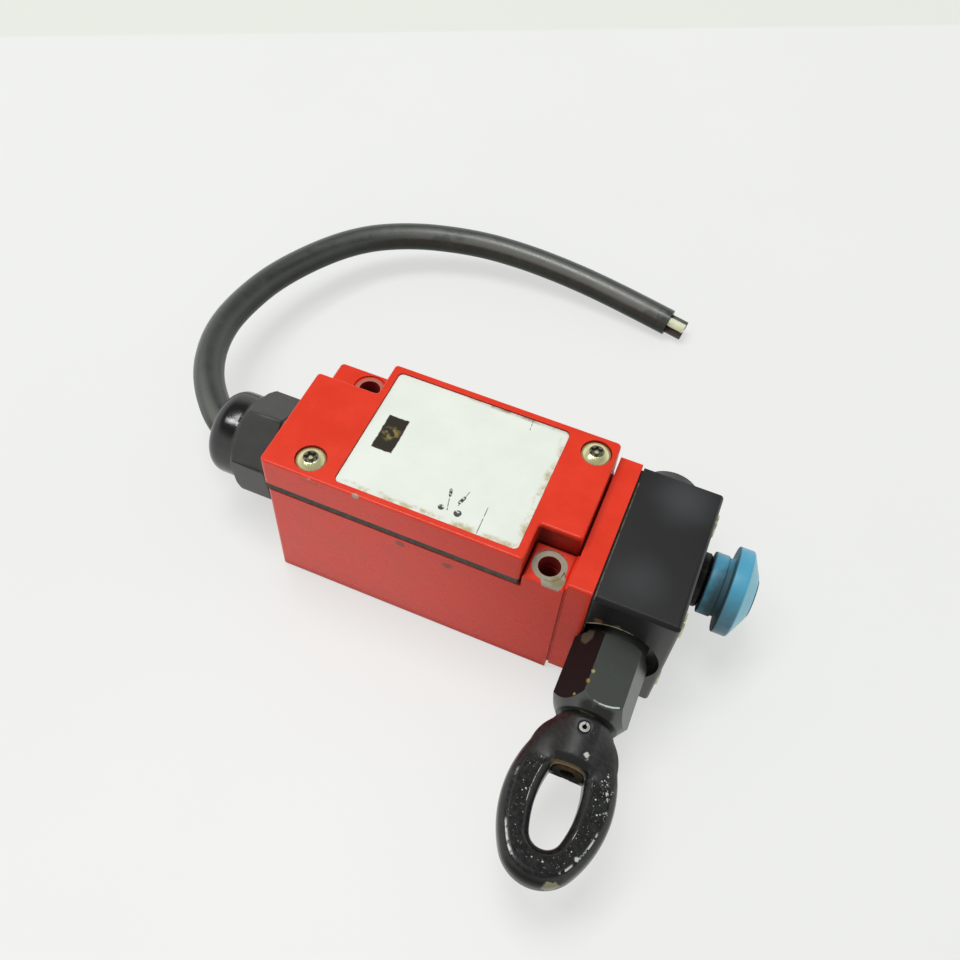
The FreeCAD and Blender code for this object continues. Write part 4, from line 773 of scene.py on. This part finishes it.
def jacket_rubber(paint):
    """Cable jacket: satin, with fine specks and a painted highlight streak along the side that faces up."""
    rgb = finish().jacket
    cloud = paint.mottle(6.0, 0.35, 0.7)
    paint.base = cloud.mix(tint(rgb, 0.85), tint(rgb, 1.15))
    facing = paint.facing()
    # Painted highlight: a broken pale streak along the side that faces up and to the front.
    painted_streak = facing.vector("DOT_PRODUCT", (0.05, -0.5, 0.865)).ramp(0.8, 0.99)
    broken = paint.mottle(13.0, 0.36, 0.5)
    paint.coat(painted_streak * broken.between(0.1, 0.85), (0.16, 0.168, 0.148))
    paint.feed("Roughness", cloud.between(0.26, 0.36))
    paint.feed("Specular IOR Level", facing.xyz()[2].ramp(0.1, 0.75).between(0.12, 0.65))
    paint.bump(paint.mottle(0.5), 0.006)


def soft_rubber(paint):
    """Gasket rubber, matt and dusty; the shaft wiper shows a smear of old grease."""
    dust = paint.mottle(1.8, 0.35, 0.7)
    smear = paint.stroke((47.9, -39.0, 26.8), (50.5, -39.0, 26.3), 0.9)
    paint.base = dust.mix(tint(finish().rubber, 0.7), tint(finish().rubber, 1.4))
    paint.coat(smear, (0.30, 0.27, 0.12))
    paint.feed("Roughness", 0.75)
    paint.bump(dust, 0.02)


def bright_metal(paint, rgb, rough, stain_rgb, amount, shine=1.0):
    """Metal with cloudy tarnish and fine turning marks."""
    cloud = paint.mottle(1.6, 0.35, 0.7)
    paint.base = (cloud * amount).mix(rgb, stain_rgb)
    paint.feed("Roughness", cloud.between(rough, rough + 0.14))
    paint.feed("Metallic", shine)
    paint.bump(paint.mottle(0.2), 0.004, 0.12)


def button_zinc(paint):
    """Yellow passivated button head, olive towards its rim."""
    upward = paint.facing().xyz()[2]
    cloud = paint.mottle(1.6, 0.35, 0.7)
    paint.base = cloud.mix(finish().zinc, tint(finish().zinc, 0.82))
    paint.coat(upward.ramp(0.93, 0.99), (0.74, 0.76, 0.62))
    paint.coat(upward.ramp(0.72, 0.4), (0.42, 0.39, 0.13))
    paint.feed("Roughness", cloud.between(0.2, 0.3))
    paint.feed("Metallic", 0.6)
    paint.bump(cloud, 0.01)


def rusty_steel(paint):
    """Pull shaft: greased steel, its end matt with rust and dark below."""
    along, height = paint.place.xyz()[1:]
    rust = paint.mottle(1.5, 0.4, 0.6)
    end = along.ramp(-48.0, -49.5)
    end_face = paint.facing().xyz()[1].ramp(-0.5, -0.8)
    brown = rust.mix((0.10, 0.058, 0.014), (0.055, 0.034, 0.012))
    brown = height.ramp(20.5, 23.5).mix((0.012, 0.010, 0.006), brown)
    paint.base = rust.mix(tint(finish().steel, 0.55), tint(finish().steel, 0.75))
    paint.coat(end, brown)
    paint.feed("Metallic", 1.0 - end)
    paint.feed("Roughness", end.between(0.3, 0.8))
    paint.feed("Specular IOR Level", end_face.between(0.5, 0.1))
    paint.bump(rust, 0.02)


def label_face(paint):
    """Label plate: off-white, stained along two edges, with a dark field and a worn contact diagram."""
    low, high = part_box("label_plate")
    middle = (low + high) / 2 / MM
    half = (high - low) / 2 / MM
    clean = (middle.x - 0.6, middle.y + 0.6, middle.z)
    inner = paint.panel(clean, (half.x, half.y, 9.0), ragged=2.2, soft=1.3, size=2.2)
    patchy = paint.mottle(3.0, 0.42, 0.66)
    cloud = paint.mottle(12.0)
    paint.base = cloud.mix(tint(finish().label, 0.97), tint(finish().label, 1.02))
    paint.coat((1.0 - inner) * patchy * 0.75, (0.42, 0.34, 0.10))
    along, across = paint.place.xyz()[:2]
    # Along the top edge: brown dirt with the painted shadow of the recess rim.
    soil_and_shade = across.ramp(16.9, 17.9) * along.ramp(-6.0, 4.0)
    paint.coat(soil_and_shade * patchy.between(0.25, 0.8), (0.20, 0.15, 0.08))

    field = paint.panel((-16.7, -0.3, LABEL_LEVEL), (2.8, 5.4, 1.0), ragged=0.5, soft=0.3, size=1.2)
    rubbed = paint.spot((-16.6, -0.2, LABEL_LEVEL), 3.2, ragged=2.0, soft=2.0, size=2.0)
    rubbed = paint.mottle(2.0, 0.48, 0.62) * rubbed
    paint.coat(field, rubbed.mix((0.022, 0.017, 0.009), (0.24, 0.19, 0.05)))

    strokes = (
        ((2.68, -14.45), (2.70, -14.45), 1.5),
        ((6.78, -14.51), (6.80, -14.51), 1.9),
        ((4.24, -14.63), (2.77, -8.65), 0.25),
        ((3.35, -10.6), (2.95, -9.2), 0.8),
        ((6.08, -12.59), (7.07, -7.9), 0.2),
        ((6.1, -11.6), (6.6, -10.0), 0.9),
        ((12.51, -10.26), (12.69, -17.6), 0.22),
        ((13.03, 17.6), (13.24, 14.9), 0.22),
    )
    lines = [
        paint.stroke((*start, LABEL_LEVEL), (*stop, LABEL_LEVEL), width) for start, stop, width in strokes
    ]
    paint.coat(most(*lines) * paint.mottle(0.8, 0.66, 0.5), finish().ink)
    paint.coat(paint.mottle(0.5, 0.74, 0.78) * 0.4, (0.25, 0.22, 0.17))
    paint.feed("Roughness", cloud.between(0.34, 0.42))
    paint.feed("Specular IOR Level", 0.3)
    paint.bump(patchy, 0.004)


def seen_ray(tree):
    """1 for rays that show a surface to the eye, straight or by way of a mirror or glass."""
    path = add(tree, "ShaderNodeLightPath")
    return most(path["Is Camera Ray"], path["Is Transmission Ray"], path["Is Glossy Ray"])


def floor_white(paint):
    """Pale table top, lit so evenly that part of its white lies under the shadows too."""
    stage = bpy.context.scene.switch_stage
    white = paint.mottle(160.0).mix(tint(stage.floor_colour, 0.985), stage.floor_colour)
    beyond = paint.place.vector("DOT_PRODUCT", AWAY_FROM_CAMERA).ramp(259.0, 262.0)
    white = beyond.mix(white, stage.wall_colour)
    fill = seen_ray(paint.tree) * stage.shadow_fill
    paint.base = fill.mix(white, (0.0, 0.0, 0.0))
    paint.feed("Emission Color", white)
    paint.feed("Emission Strength", fill)
    paint.feed("Roughness", 0.45)
    paint.feed("Specular IOR Level", 0.2)


# Mesh helpers
def ring_stack(rings, segments, start_angle=0.0):
    """Closed mesh of rings along +Z, each a height and a radius or a function of the angle."""
    bm = bmesh.new()
    loop = bmesh.ops.create_circle(bm, segments=segments, radius=1.0)["verts"]
    bmesh.ops.rotate(bm, verts=loop, matrix=Matrix.Rotation(start_angle, 3, "Z"))
    edges = bm.edges[:]
    for index, (height, radius) in enumerate(rings):
        if index:
            grown = bmesh.ops.extrude_edge_only(bm, edges=edges)["geom"]
            edges = [item for item in grown if isinstance(item, bmesh.types.BMEdge)]
            loop = [item for item in grown if isinstance(item, bmesh.types.BMVert)]
        for vert in loop:
            angle = math.atan2(vert.co.y, vert.co.x)
            reach = radius(angle) if callable(radius) else radius
            vert.co = Vector((reach * math.cos(angle), reach * math.sin(angle), height))
    bmesh.ops.holes_fill(bm, edges=bm.edges[:], sides=0)
    bmesh.ops.recalc_face_normals(bm, faces=bm.faces)
    return bm


def round_edges(bm, width, sharper_than, segments=3, beyond=0.0):
    """Bevel the edges that are sharper than an angle in degrees and reach beyond a radius."""
    limit = math.radians(sharper_than)
    sharp = [edge for edge in bm.edges if edge.is_manifold and edge.calc_face_angle() > limit]
    chosen = [edge for edge in sharp if max(vert.co.xy.length for vert in edge.verts) > beyond]
    bmesh.ops.bevel(
        bm,
        geom=chosen,
        offset=width,
        affect="EDGES",
        segments=segments,
        profile=0.5,
        material=-1,
        clamp_overlap=True,
    )


def arc_rings(start_height, start_radius, size, steps):
    """Rings of a quarter round, from the side of a turned piece to its end."""
    rings = []
    for step in range(steps + 1):
        angle = math.pi / 2 * step / steps
        rings.append((start_height + size * math.sin(angle), start_radius - size * (1 - math.cos(angle))))
    return rings


def soften(profile, size, steps=5):
    """Profile of a turned piece with its corners rounded."""
    points = [Vector(point) for point in profile]
    rounded = [points[0]]
    for before, corner, after in zip(points, points[1:], points[2:]):
        start = corner + (before - corner).normalized() * min(size, (before - corner).length * 0.45)
        stop = corner + (after - corner).normalized() * min(size, (after - corner).length * 0.45)
        for step in range(steps + 1):
            share = step / steps
            rounded.append(start.lerp(corner, share).lerp(corner.lerp(stop, share), share))
    rounded.append(points[-1])
    return [tuple(point) for point in rounded]


def place_along(bm, axis, place):
    """Turn a mesh built along +Z to an axis and move it to its place."""
    turn = Vector((0, 0, 1)).rotation_difference(Vector(axis)).to_matrix()
    bmesh.ops.rotate(bm, verts=bm.verts, matrix=turn)
    bmesh.ops.translate(bm, verts=bm.verts, vec=Vector(place))


def merged_copy(node):
    """Mesh of a CAD node with its loose triangles joined."""
    bm = bmesh.new()
    bm.from_mesh(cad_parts[node].data)
    bmesh.ops.remove_doubles(bm, verts=bm.verts, dist=0.001 * MM)
    return bm


def mesh_object(name, bm, *materials):
    """Finished mesh as an object of the scene."""
    mesh = bpy.data.meshes.new(name)
    bm.to_mesh(mesh)
    bm.free()
    for material in materials:
        mesh.materials.append(material)
    shown = bpy.data.objects.new(name, mesh)
    bpy.context.scene.collection.objects.link(shown)
    return shown


def new_piece(name, bm, body, materials, nodes=(), smooth=35.0):
    """Piece that rides on a body and stands for CAD nodes; edges over smooth degrees stay sharp."""
    piece = mesh_object(name, bm, *materials)
    piece.data.shade_smooth()
    piece.data.set_sharp_from_angle(angle=math.radians(smooth))
    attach(piece, body)
    if nodes:
        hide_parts(*nodes)
    return piece


def dress(material, *nodes):
    """Give CAD nodes their finish."""
    for node in nodes:
        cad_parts[node].material_slots[0].material = material


# Operators
class PULLSWITCH_OT_stage(bpy.types.Operator):
    """Camera, table and studio light"""

    bl_idname = "pullswitch.stage"
    bl_label = "Stage"

    def execute(self, context):
        scene = context.scene
        stage = scene.switch_stage
        scene.view_settings.view_transform = "Standard"
        camera = bpy.data.objects.new("camera", bpy.data.cameras.new("camera"))
        camera.location = stage.camera_place
        camera.rotation_euler = stage.camera_turn
        camera.data.lens = stage.lens
        camera.data.sensor_width = 36.0
        camera.data.clip_start = 0.01
        scene.collection.objects.link(camera)
        scene.camera = camera

        bm = bmesh.new()
        bmesh.ops.create_grid(bm, x_segments=1, y_segments=1, size=4.0)
        bmesh.ops.translate(bm, verts=bm.verts, vec=(0, 0, -0.1 * MM))
        table = mesh_object("table", bm, made("table", floor_white))

        lights = (
            ("ceiling panel", (-0.22, 0.1, 1.25), 0.5, stage.key_power),
            ("side panel", (-0.5, -0.22, 1.12), 0.22, stage.fill_power),
        )
        for name, place, size, power in lights:
            lamp = bpy.data.lights.new(name, "AREA")
            lamp.size = size
            lamp.energy = power
            light = bpy.data.objects.new(name, lamp)
            light.location = place
            aim = Vector((0.0, 0.0, 0.02)) - light.location
            light.rotation_euler = aim.to_track_quat("-Z", "Y").to_euler()
            scene.collection.objects.link(light)

        world = bpy.data.worlds.new("studio")
        scene.world = world
        world.use_nodes = True
        tree = world.node_tree
        sky = tree.nodes["Background"]
        sky.inputs["Color"].default_value = (1.0, 1.0, 1.0, 1.0)
        upward = add(tree, "ShaderNodeTexCoord")["Generated"].xyz()[2]
        mirrored = upward.ramp(0.35, 0.75).between(stage.mirrored_walls, stage.mirrored_ceiling)
        feed(sky, "Strength", seen_ray(tree).between(stage.sky_strength, mirrored))
        return {"FINISHED"}


class PULLSWITCH_OT_cable(bpy.types.Operator):
    """Cable jacket and the three cut cores"""

    bl_idname = "pullswitch.cable"
    bl_label = "Cable"

    def execute(self, context):
        cable = context.scene.switch_cable
        curve = bpy.data.curves.new("cable_jacket", "CURVE")
        curve.dimensions = "3D"
        curve.bevel_depth = cable.diameter / 2
        curve.bevel_resolution = 10
        curve.resolution_u = 16
        curve.use_fill_caps = True
        spline = curve.splines.new("NURBS")
        spline.points.add(len(CABLE_ROUTE) - 1)
        for point, place in zip(spline.points, CABLE_ROUTE):
            point.co = (*place, 1.0)
        spline.order_u = 3
        spline.use_endpoint_u = True
        curve.materials.append(made("cable jacket", jacket_rubber))
        jacket = bpy.data.objects.new("cable_jacket", curve)
        context.scene.collection.objects.link(jacket)
        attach(jacket, "housing")
        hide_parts("cable")

        end = Vector(CABLE_ROUTE[-1])
        ahead = (end - Vector(CABLE_ROUTE[-2])).normalized()
        across = ahead.cross(Vector((0, 0, 1))).normalized()
        upward = across.cross(ahead)
        finishes = (
            ("white_core", (0.76, 0.79, 0.56)),
            ("grey_core", (0.085, 0.090, 0.078)),
            ("brown_core", (0.056, 0.046, 0.036)),
        )
        for index, (name, rgb) in enumerate(finishes):
            angle = cable.core_turn + math.radians(120) * index
            offset = across * math.cos(angle) + upward * math.sin(angle)
            self.add_core(cable, name, rgb, end + offset * cable.core_pitch, ahead)
        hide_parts("cable_cores")
        return {"FINISHED"}

    def add_core(self, cable, name, rgb, start, ahead):
        """One core: insulation tube round a bundle of copper strands."""
        radius = cable.strand_radius
        bore = 3.05 * radius
        sunk, strand, rounding = 0.8 * MM, 0.9 * MM, 0.12 * MM
        height = cable.core_length - 0.5 * MM
        rings = [
            (0.0, cable.core_radius),
            (cable.core_length, cable.core_radius),
            (cable.core_length, bore),
            (cable.core_length - sunk, bore),
        ]
        bm = ring_stack(rings, 24)
        round_edges(bm, rounding, 60, 2)
        for index in range(7):
            turn = math.radians(60 * index)
            reach = 2 * radius if index else 0.0
            middle = Vector((reach * math.cos(turn), reach * math.sin(turn), height))
            cone = bmesh.ops.create_cone(
                bm,
                cap_ends=True,
                segments=10,
                radius1=radius,
                radius2=radius,
                depth=strand,
                matrix=Matrix.Translation(middle),
            )
            for vert in cone["verts"]:
                for face in vert.link_faces:
                    face.material_index = 1
        place_along(bm, ahead, start)
        copper = made("copper", bright_metal, (0.62, 0.30, 0.16), 0.35, (0.12, 0.06, 0.04), 0.6)
        insulation = made(name, moulded_plastic, rgb, 0.45, 0.01, 0.0)
        return new_piece(name, bm, "housing", [insulation, copper])


class PULLSWITCH_OT_housing(bpy.types.Operator):
    """Paint on the housing and the cover, rubber in the joints"""

    bl_idname = "pullswitch.housing"
    bl_label = "Housing"

    def execute(self, context):
        dress(made("housing paint", housing_paint), "housing")
        dress(made("cover paint", cover_paint), "cover")
        rubber = made("gasket rubber", soft_rubber)
        dress(rubber, "cover_gasket", "head_gasket", "cap_seal", "shaft_wiper", "gland_washer", "gland_seal")
        return {"FINISHED"}


class PULLSWITCH_OT_cover_screws(bpy.types.Operator):
    """Two button head screws with a pinned six-lobe recess"""

    bl_idname = "pullswitch.cover_screws"
    bl_label = "Cover screws"

    def execute(self, context):
        screw = context.scene.switch_screw
        crown = screw.head_height - screw.rim_height
        ball = (screw.head_radius ** 2 + crown ** 2) / (2 * crown)
        mean = (screw.lobe_radius + screw.root_radius) / 2
        swing = (screw.lobe_radius - screw.root_radius) / 2

        def dome(radius):
            return screw.head_height - ball + math.sqrt(ball ** 2 - radius ** 2)

        def lobed(angle):
            return mean + swing * math.cos(6 * angle)

        margin, edge, lip = 0.15 * MM, 0.2 * MM, 0.08 * MM
        pin_shoulder, pin_tip = 0.25 * MM, 0.1 * MM
        mouth = screw.lobe_radius + margin
        rim = dome(mouth)
        floor = rim - screw.recess_depth
        rings = [
            (-screw.shank_length, screw.shank_radius),
            (0.0, screw.shank_radius),
            (0.0, screw.head_radius - edge),
            (edge, screw.head_radius),
        ]
        for step in range(9):
            radius = screw.head_radius + (mouth - screw.head_radius) * step / 8
            rings.append((dome(radius), radius))
        rings += [
            (rim - lip, lobed),
            (floor, lobed),
            (floor, screw.pin_radius),
            (rim - pin_shoulder, screw.pin_radius),
            (rim - pin_tip, screw.pin_radius * 0.7),
        ]
        low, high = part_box("cover_screws")
        reach = screw.head_radius
        whole = bmesh.new()
        for x, y, turn in ((low.x, low.y, 12), (high.x, high.y, 40)):
            bm = ring_stack(rings, 60)
            for face in bm.faces:
                middle = face.calc_center_median()
                face.material_index = int(screw.pin_radius < middle.xy.length < mouth and middle.z > 0.0)
            place = (x + math.copysign(reach, -x), y + math.copysign(reach, -y), high.z - screw.head_height)
            bmesh.ops.rotate(bm, verts=bm.verts, matrix=Matrix.Rotation(math.radians(turn), 3, "Z"))
            bmesh.ops.translate(bm, verts=bm.verts, vec=place)
            one = bpy.data.meshes.new("screw")
            bm.to_mesh(one)
            bm.free()
            whole.from_mesh(one)
            bpy.data.meshes.remove(one)
        zinc = made("button zinc", button_zinc)
        # Painted shade: the faces of the recess get a dark finish.
        grime_and_shade = made("recess grime", bright_metal, (0.16, 0.15, 0.09), 0.5, (0.06, 0.052, 0.03), 0.7, 0.3)
        new_piece("button_screws", whole, "housing", [zinc, grime_and_shade], ["cover_screws"])
        return {"FINISHED"}


class PULLSWITCH_OT_label(bpy.types.Operator):
    """Label plate and what is left of its contact diagram"""

    bl_idname = "pullswitch.label"
    bl_label = "Label"

    def execute(self, context):
        dress(made("label face", label_face), "label_plate")
        return {"FINISHED"}


class PULLSWITCH_OT_head(bpy.types.Operator):
    """Head casting, rear cap and the slotted head screws"""

    bl_idname = "pullswitch.head"
    bl_label = "Head"

    def execute(self, context):
        dress(made("head paint", black_paint, finish().black), "head_casting")
        dress(made("cap paint", black_paint, tint(finish().black, 14.0)), "rear_cap")
        zinc = made("yellow zinc", bright_metal, finish().zinc, 0.24, (0.72, 0.74, 0.50), 0.8, 0.45)
        dress(zinc, "head_screws", "block_screws", "terminal_screws", "earth_screw")
        return {"FINISHED"}


class PULLSWITCH_OT_bushing(bpy.types.Operator):
    """Hexagon bushing of the pull shaft"""

    bl_idname = "pullswitch.bushing"
    bl_label = "Bushing"

    def execute(self, context):
        dress(made("bushing oxide", bushing_oxide), "pull_bushing")
        return {"FINISHED"}


class PULLSWITCH_OT_pull_eye(bpy.types.Operator):
    """Cast pull eye with its roll pin and shaft"""

    bl_idname = "pullswitch.pull_eye"
    bl_label = "Pull eye"

    def execute(self, context):
        eye = context.scene.switch_eye
        cells = self.even_cells(context, eye.grain)
        bm = bmesh.new()
        bm.from_mesh(cells)
        bpy.data.meshes.remove(cells)
        self.smooth(bm, bm.verts, eye.blend_steps)
        valleys = [vert for vert in bm.verts if self.beside_hub(vert.co / MM)]
        self.smooth(bm, valleys, eye.valley_steps)
        bmesh.ops.recalc_face_normals(bm, faces=bm.faces)
        paint = made("eye paint", eye_paint)
        new_piece("cast_eye", bm, "pull_swivel", [paint], ["pull_eye"], 180)
        bright = made("bright steel", bright_metal, finish().steel, 0.25, (0.34, 0.30, 0.22), 0.5)
        dress(bright, "spring_seat", "head_plunger")
        dull = made("dull steel", bright_metal, tint(finish().steel, 0.66), 0.45, (0.26, 0.25, 0.20), 0.6)
        dress(dull, "roll_pin")
        dress(made("rusty steel", rusty_steel), "pull_shaft")
        return {"FINISHED"}

    def even_cells(self, context, size):
        """The CAD eye with its hub relieved underneath, as a mesh of even cells."""
        form = mesh_object("eye_form", merged_copy("pull_eye"))
        place = Matrix.Translation(Vector(HUB_RELIEF_PLACE) * MM)
        tilt = Matrix.Rotation(HUB_RELIEF_TILT, 4, "X")
        spread = Matrix.Diagonal((*Vector(HUB_RELIEF_SIZE) * MM, 1.0))
        bm = bmesh.new()
        bmesh.ops.create_cube(bm, size=1.0, matrix=place @ tilt @ spread)
        cutter = mesh_object("eye_cutter", bm)
        relief = form.modifiers.new("relief", "BOOLEAN")
        relief.operation = "DIFFERENCE"
        relief.object = cutter
        remesh = form.modifiers.new("cells", "REMESH")
        remesh.mode = "VOXEL"
        remesh.voxel_size = size
        context.view_layer.update()
        cells = bpy.data.meshes.new_from_object(form.evaluated_get(context.evaluated_depsgraph_get()))
        for helper in (form, cutter):
            mesh = helper.data
            bpy.data.objects.remove(helper)
            bpy.data.meshes.remove(mesh)
        return cells

    def smooth(self, bm, verts, steps):
        """Even out the given part of a mesh."""
        axes = {"use_axis_x": True, "use_axis_y": True, "use_axis_z": True}
        for step in range(steps):
            bmesh.ops.smooth_vert(bm, verts=verts, factor=0.5, **axes)

    def beside_hub(self, place):
        """Inside the valleys between the hub and the ring's shoulders."""
        aside = abs(place.x - PULL_AXIS[0])
        above = abs(place.z - PULL_AXIS[2])
        return 3.6 < aside < 10.0 and -52.5 < place.y < -40.2 and above > 2.5


class PULLSWITCH_OT_reset_knob(bpy.types.Operator):
    """Blue pull knob of the latch, with its front disc and bush"""

    bl_idname = "pullswitch.reset_knob"
    bl_label = "Reset knob"

    def execute(self, context):
        knob = context.scene.switch_knob
        low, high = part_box("reset_knob")
        front = high.x - low.x
        cap = (high.z - low.z) / 2
        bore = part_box("reset_rod")[1].x - low.x
        neck = knob.collar_length + knob.neck_length
        rings = [
            (bore, knob.rod_radius),
            (0.0, knob.rod_radius),
            (0.0, knob.collar_radius),
            (knob.collar_length, knob.collar_radius),
            (knob.collar_length, knob.neck_radius),
            (neck, knob.neck_radius),
            (neck, cap),
            (neck + knob.rim_length, cap),
            (front, knob.front_radius),
            (front, knob.disc_radius),
            (front - knob.disc_depth, knob.disc_radius),
        ]
        bm = ring_stack(soften(rings, knob.edge_radius), 96)
        place_along(bm, (1, 0, 0), (low.x, (low.y + high.y) / 2, (low.z + high.z) / 2))
        blue = made("knob blue", knob_blue)
        new_piece("knob", bm, "reset", [blue], ["reset_knob"], 40)
        dress(made("disc blue", moulded_plastic, tint(finish().blue, 0.3), 0.35, 0.004, 0.15), "knob_disc")
        dark = tint(finish().steel, 0.05)
        blackened = made("blackened steel", bright_metal, dark, 0.5, (0.02, 0.018, 0.015), 0.6)
        dress(blackened, "reset_bush", "reset_rod")
        return {"FINISHED"}


class PULLSWITCH_OT_gland(bpy.types.Operator):
    """Cable gland: domed nut and hexagon body"""

    bl_idname = "pullswitch.gland"
    bl_label = "Cable gland"

    def execute(self, context):
        gland = context.scene.switch_gland
        low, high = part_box("gland_nut")
        total = high.x - low.x
        corner = gland.flats / math.sqrt(3)
        sixth = math.radians(60)

        def hexagon(limit):
            def radius(angle):
                turned = (angle - gland.hex_turn) % sixth - sixth / 2
                return min(gland.flats / 2 / math.cos(turned), limit)

            return radius

        dome_start = gland.hex_length + gland.neck_length
        lip, rounding = 0.4 * MM, 0.35 * MM
        rings = [
            (0.0, gland.throat_radius),
            (0.0, hexagon(corner - lip)),
            (lip, hexagon(corner)),
            (gland.hex_length - gland.chamfer, hexagon(corner)),
            (gland.hex_length - gland.chamfer / 2, hexagon(corner - gland.chamfer / 2)),
            (gland.hex_length, hexagon(corner - gland.chamfer)),
            (gland.hex_length, gland.neck_radius),
            (dome_start, gland.neck_radius),
            (dome_start + lip, gland.dome_radius),
        ]
        rings += arc_rings(total - gland.dome_round, gland.dome_radius, gland.dome_round, 10)[:-1]
        rings += [
            (total, gland.mouth_radius),
            (total - gland.mouth_depth, gland.mouth_radius),
            (total - gland.throat_depth, gland.throat_radius),
        ]
        bm = ring_stack(rings, 96, gland.hex_turn)
        round_edges(bm, rounding, 50, beyond=gland.neck_radius)
        middle = (low + high) / 2
        place_along(bm, (-1, 0, 0), (high.x, middle.y, middle.z))
        plastic = made("gland plastic", gland_plastic)
        new_piece("domed_nut", bm, "housing", [plastic], ["gland_nut"], 40)
        dress(plastic, "gland_body")
        return {"FINISHED"}


class PULLSWITCH_OT_inner_pieces(bpy.types.Operator):
    """Contact block, contacts, springs and leads inside the housing"""

    bl_idname = "pullswitch.inner_pieces"
    bl_label = "Inner pieces"

    def execute(self, context):
        block = made("block plastic", moulded_plastic, finish().block, 0.45, 0.006, 0.2)
        dress(block, "contact_block", "block_lid", "contact_carrier")
        brass = made("brass", bright_metal, finish().brass, 0.25, (0.40, 0.26, 0.10), 0.5)
        dress(brass, "contact_bridges", "fixed_contacts", "terminal_clamps", "earth_clamp")
        grey = tint(finish().steel, 0.7)
        spring = made("spring steel", bright_metal, grey, 0.3, (0.30, 0.27, 0.22), 0.5)
        dress(spring, "bridge_springs")
        self.add_coil("pull_coil", "pull_spring", "pull_slide", (0, 1, 0), spring)
        self.add_coil("reset_coil", "reset_spring", "reset", (-1, 0, 0), spring)
        self.add_coil("carrier_coil", "carrier_spring", "contacts", (1, 0, 0), spring)
        dress(made("cable jacket", jacket_rubber), "cable_inner")
        leads = made("lead insulation", moulded_plastic, (0.10, 0.09, 0.08), 0.45, 0.01, 0.0)
        dress(leads, "lead_wires")
        return {"FINISHED"}

    def add_coil(self, name, node, mover, towards, steel):
        """A CAD spring, copied smooth shaded in place of its node; mover and towards are not used."""
        bm = merged_copy(node)
        bmesh.ops.recalc_face_normals(bm, faces=bm.faces)
        coil = mesh_object(name, bm, steel)
        coil.data.shade_smooth()
        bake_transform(coil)
        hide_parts(node)


class PULLSWITCH_PT_panel(bpy.types.Panel):
    """Lists the pieces of the switch"""

    bl_idname = "PULLSWITCH_PT_panel"
    bl_label = "Rope pull switch"
    bl_space_type = "VIEW_3D"
    bl_region_type = "UI"
    bl_category = "Pull switch"

    def draw(self, context):
        for operator in OPERATORS:
            self.layout.operator(operator.bl_idname)
        for name in SETTINGS:
            box = self.layout.box()
            group = getattr(context.scene, name)
            for key in group.__annotations__:
                box.prop(group, key)


SETTINGS = {
    "switch_stage": StageSettings,
    "switch_finish": FinishSettings,
    "switch_screw": ScrewSettings,
    "switch_cable": CableSettings,
    "switch_knob": KnobSettings,
    "switch_gland": GlandSettings,
    "switch_eye": EyeSettings,
}
OPERATORS = (
    PULLSWITCH_OT_stage,
    PULLSWITCH_OT_cable,
    PULLSWITCH_OT_housing,
    PULLSWITCH_OT_cover_screws,
    PULLSWITCH_OT_label,
    PULLSWITCH_OT_head,
    PULLSWITCH_OT_bushing,
    PULLSWITCH_OT_pull_eye,
    PULLSWITCH_OT_reset_knob,
    PULLSWITCH_OT_gland,
    PULLSWITCH_OT_inner_pieces,
)


def register():
    for group in SETTINGS.values():
        bpy.utils.register_class(group)
    for operator in OPERATORS:
        bpy.utils.register_class(operator)
    bpy.utils.register_class(PULLSWITCH_PT_panel)
    for name, group in SETTINGS.items():
        setattr(bpy.types.Scene, name, PointerProperty(type=group))


def unregister():
    for name in SETTINGS:
        delattr(bpy.types.Scene, name)
    bpy.utils.unregister_class(PULLSWITCH_PT_panel)
    for operator in reversed(OPERATORS):
        bpy.utils.unregister_class(operator)
    for group in reversed(SETTINGS.values()):
        bpy.utils.unregister_class(group)


def main():
    register()
    bpy.ops.pullswitch.stage()
    bpy.ops.pullswitch.cable()
    bpy.ops.pullswitch.housing()
    bpy.ops.pullswitch.cover_screws()
    bpy.ops.pullswitch.label()
    bpy.ops.pullswitch.head()
    bpy.ops.pullswitch.bushing()
    bpy.ops.pullswitch.pull_eye()
    bpy.ops.pullswitch.reset_knob()
    bpy.ops.pullswitch.gland()
    bpy.ops.pullswitch.inner_pieces()
    bpy.context.view_layer.update()


if __name__ == "__main__":
    main()
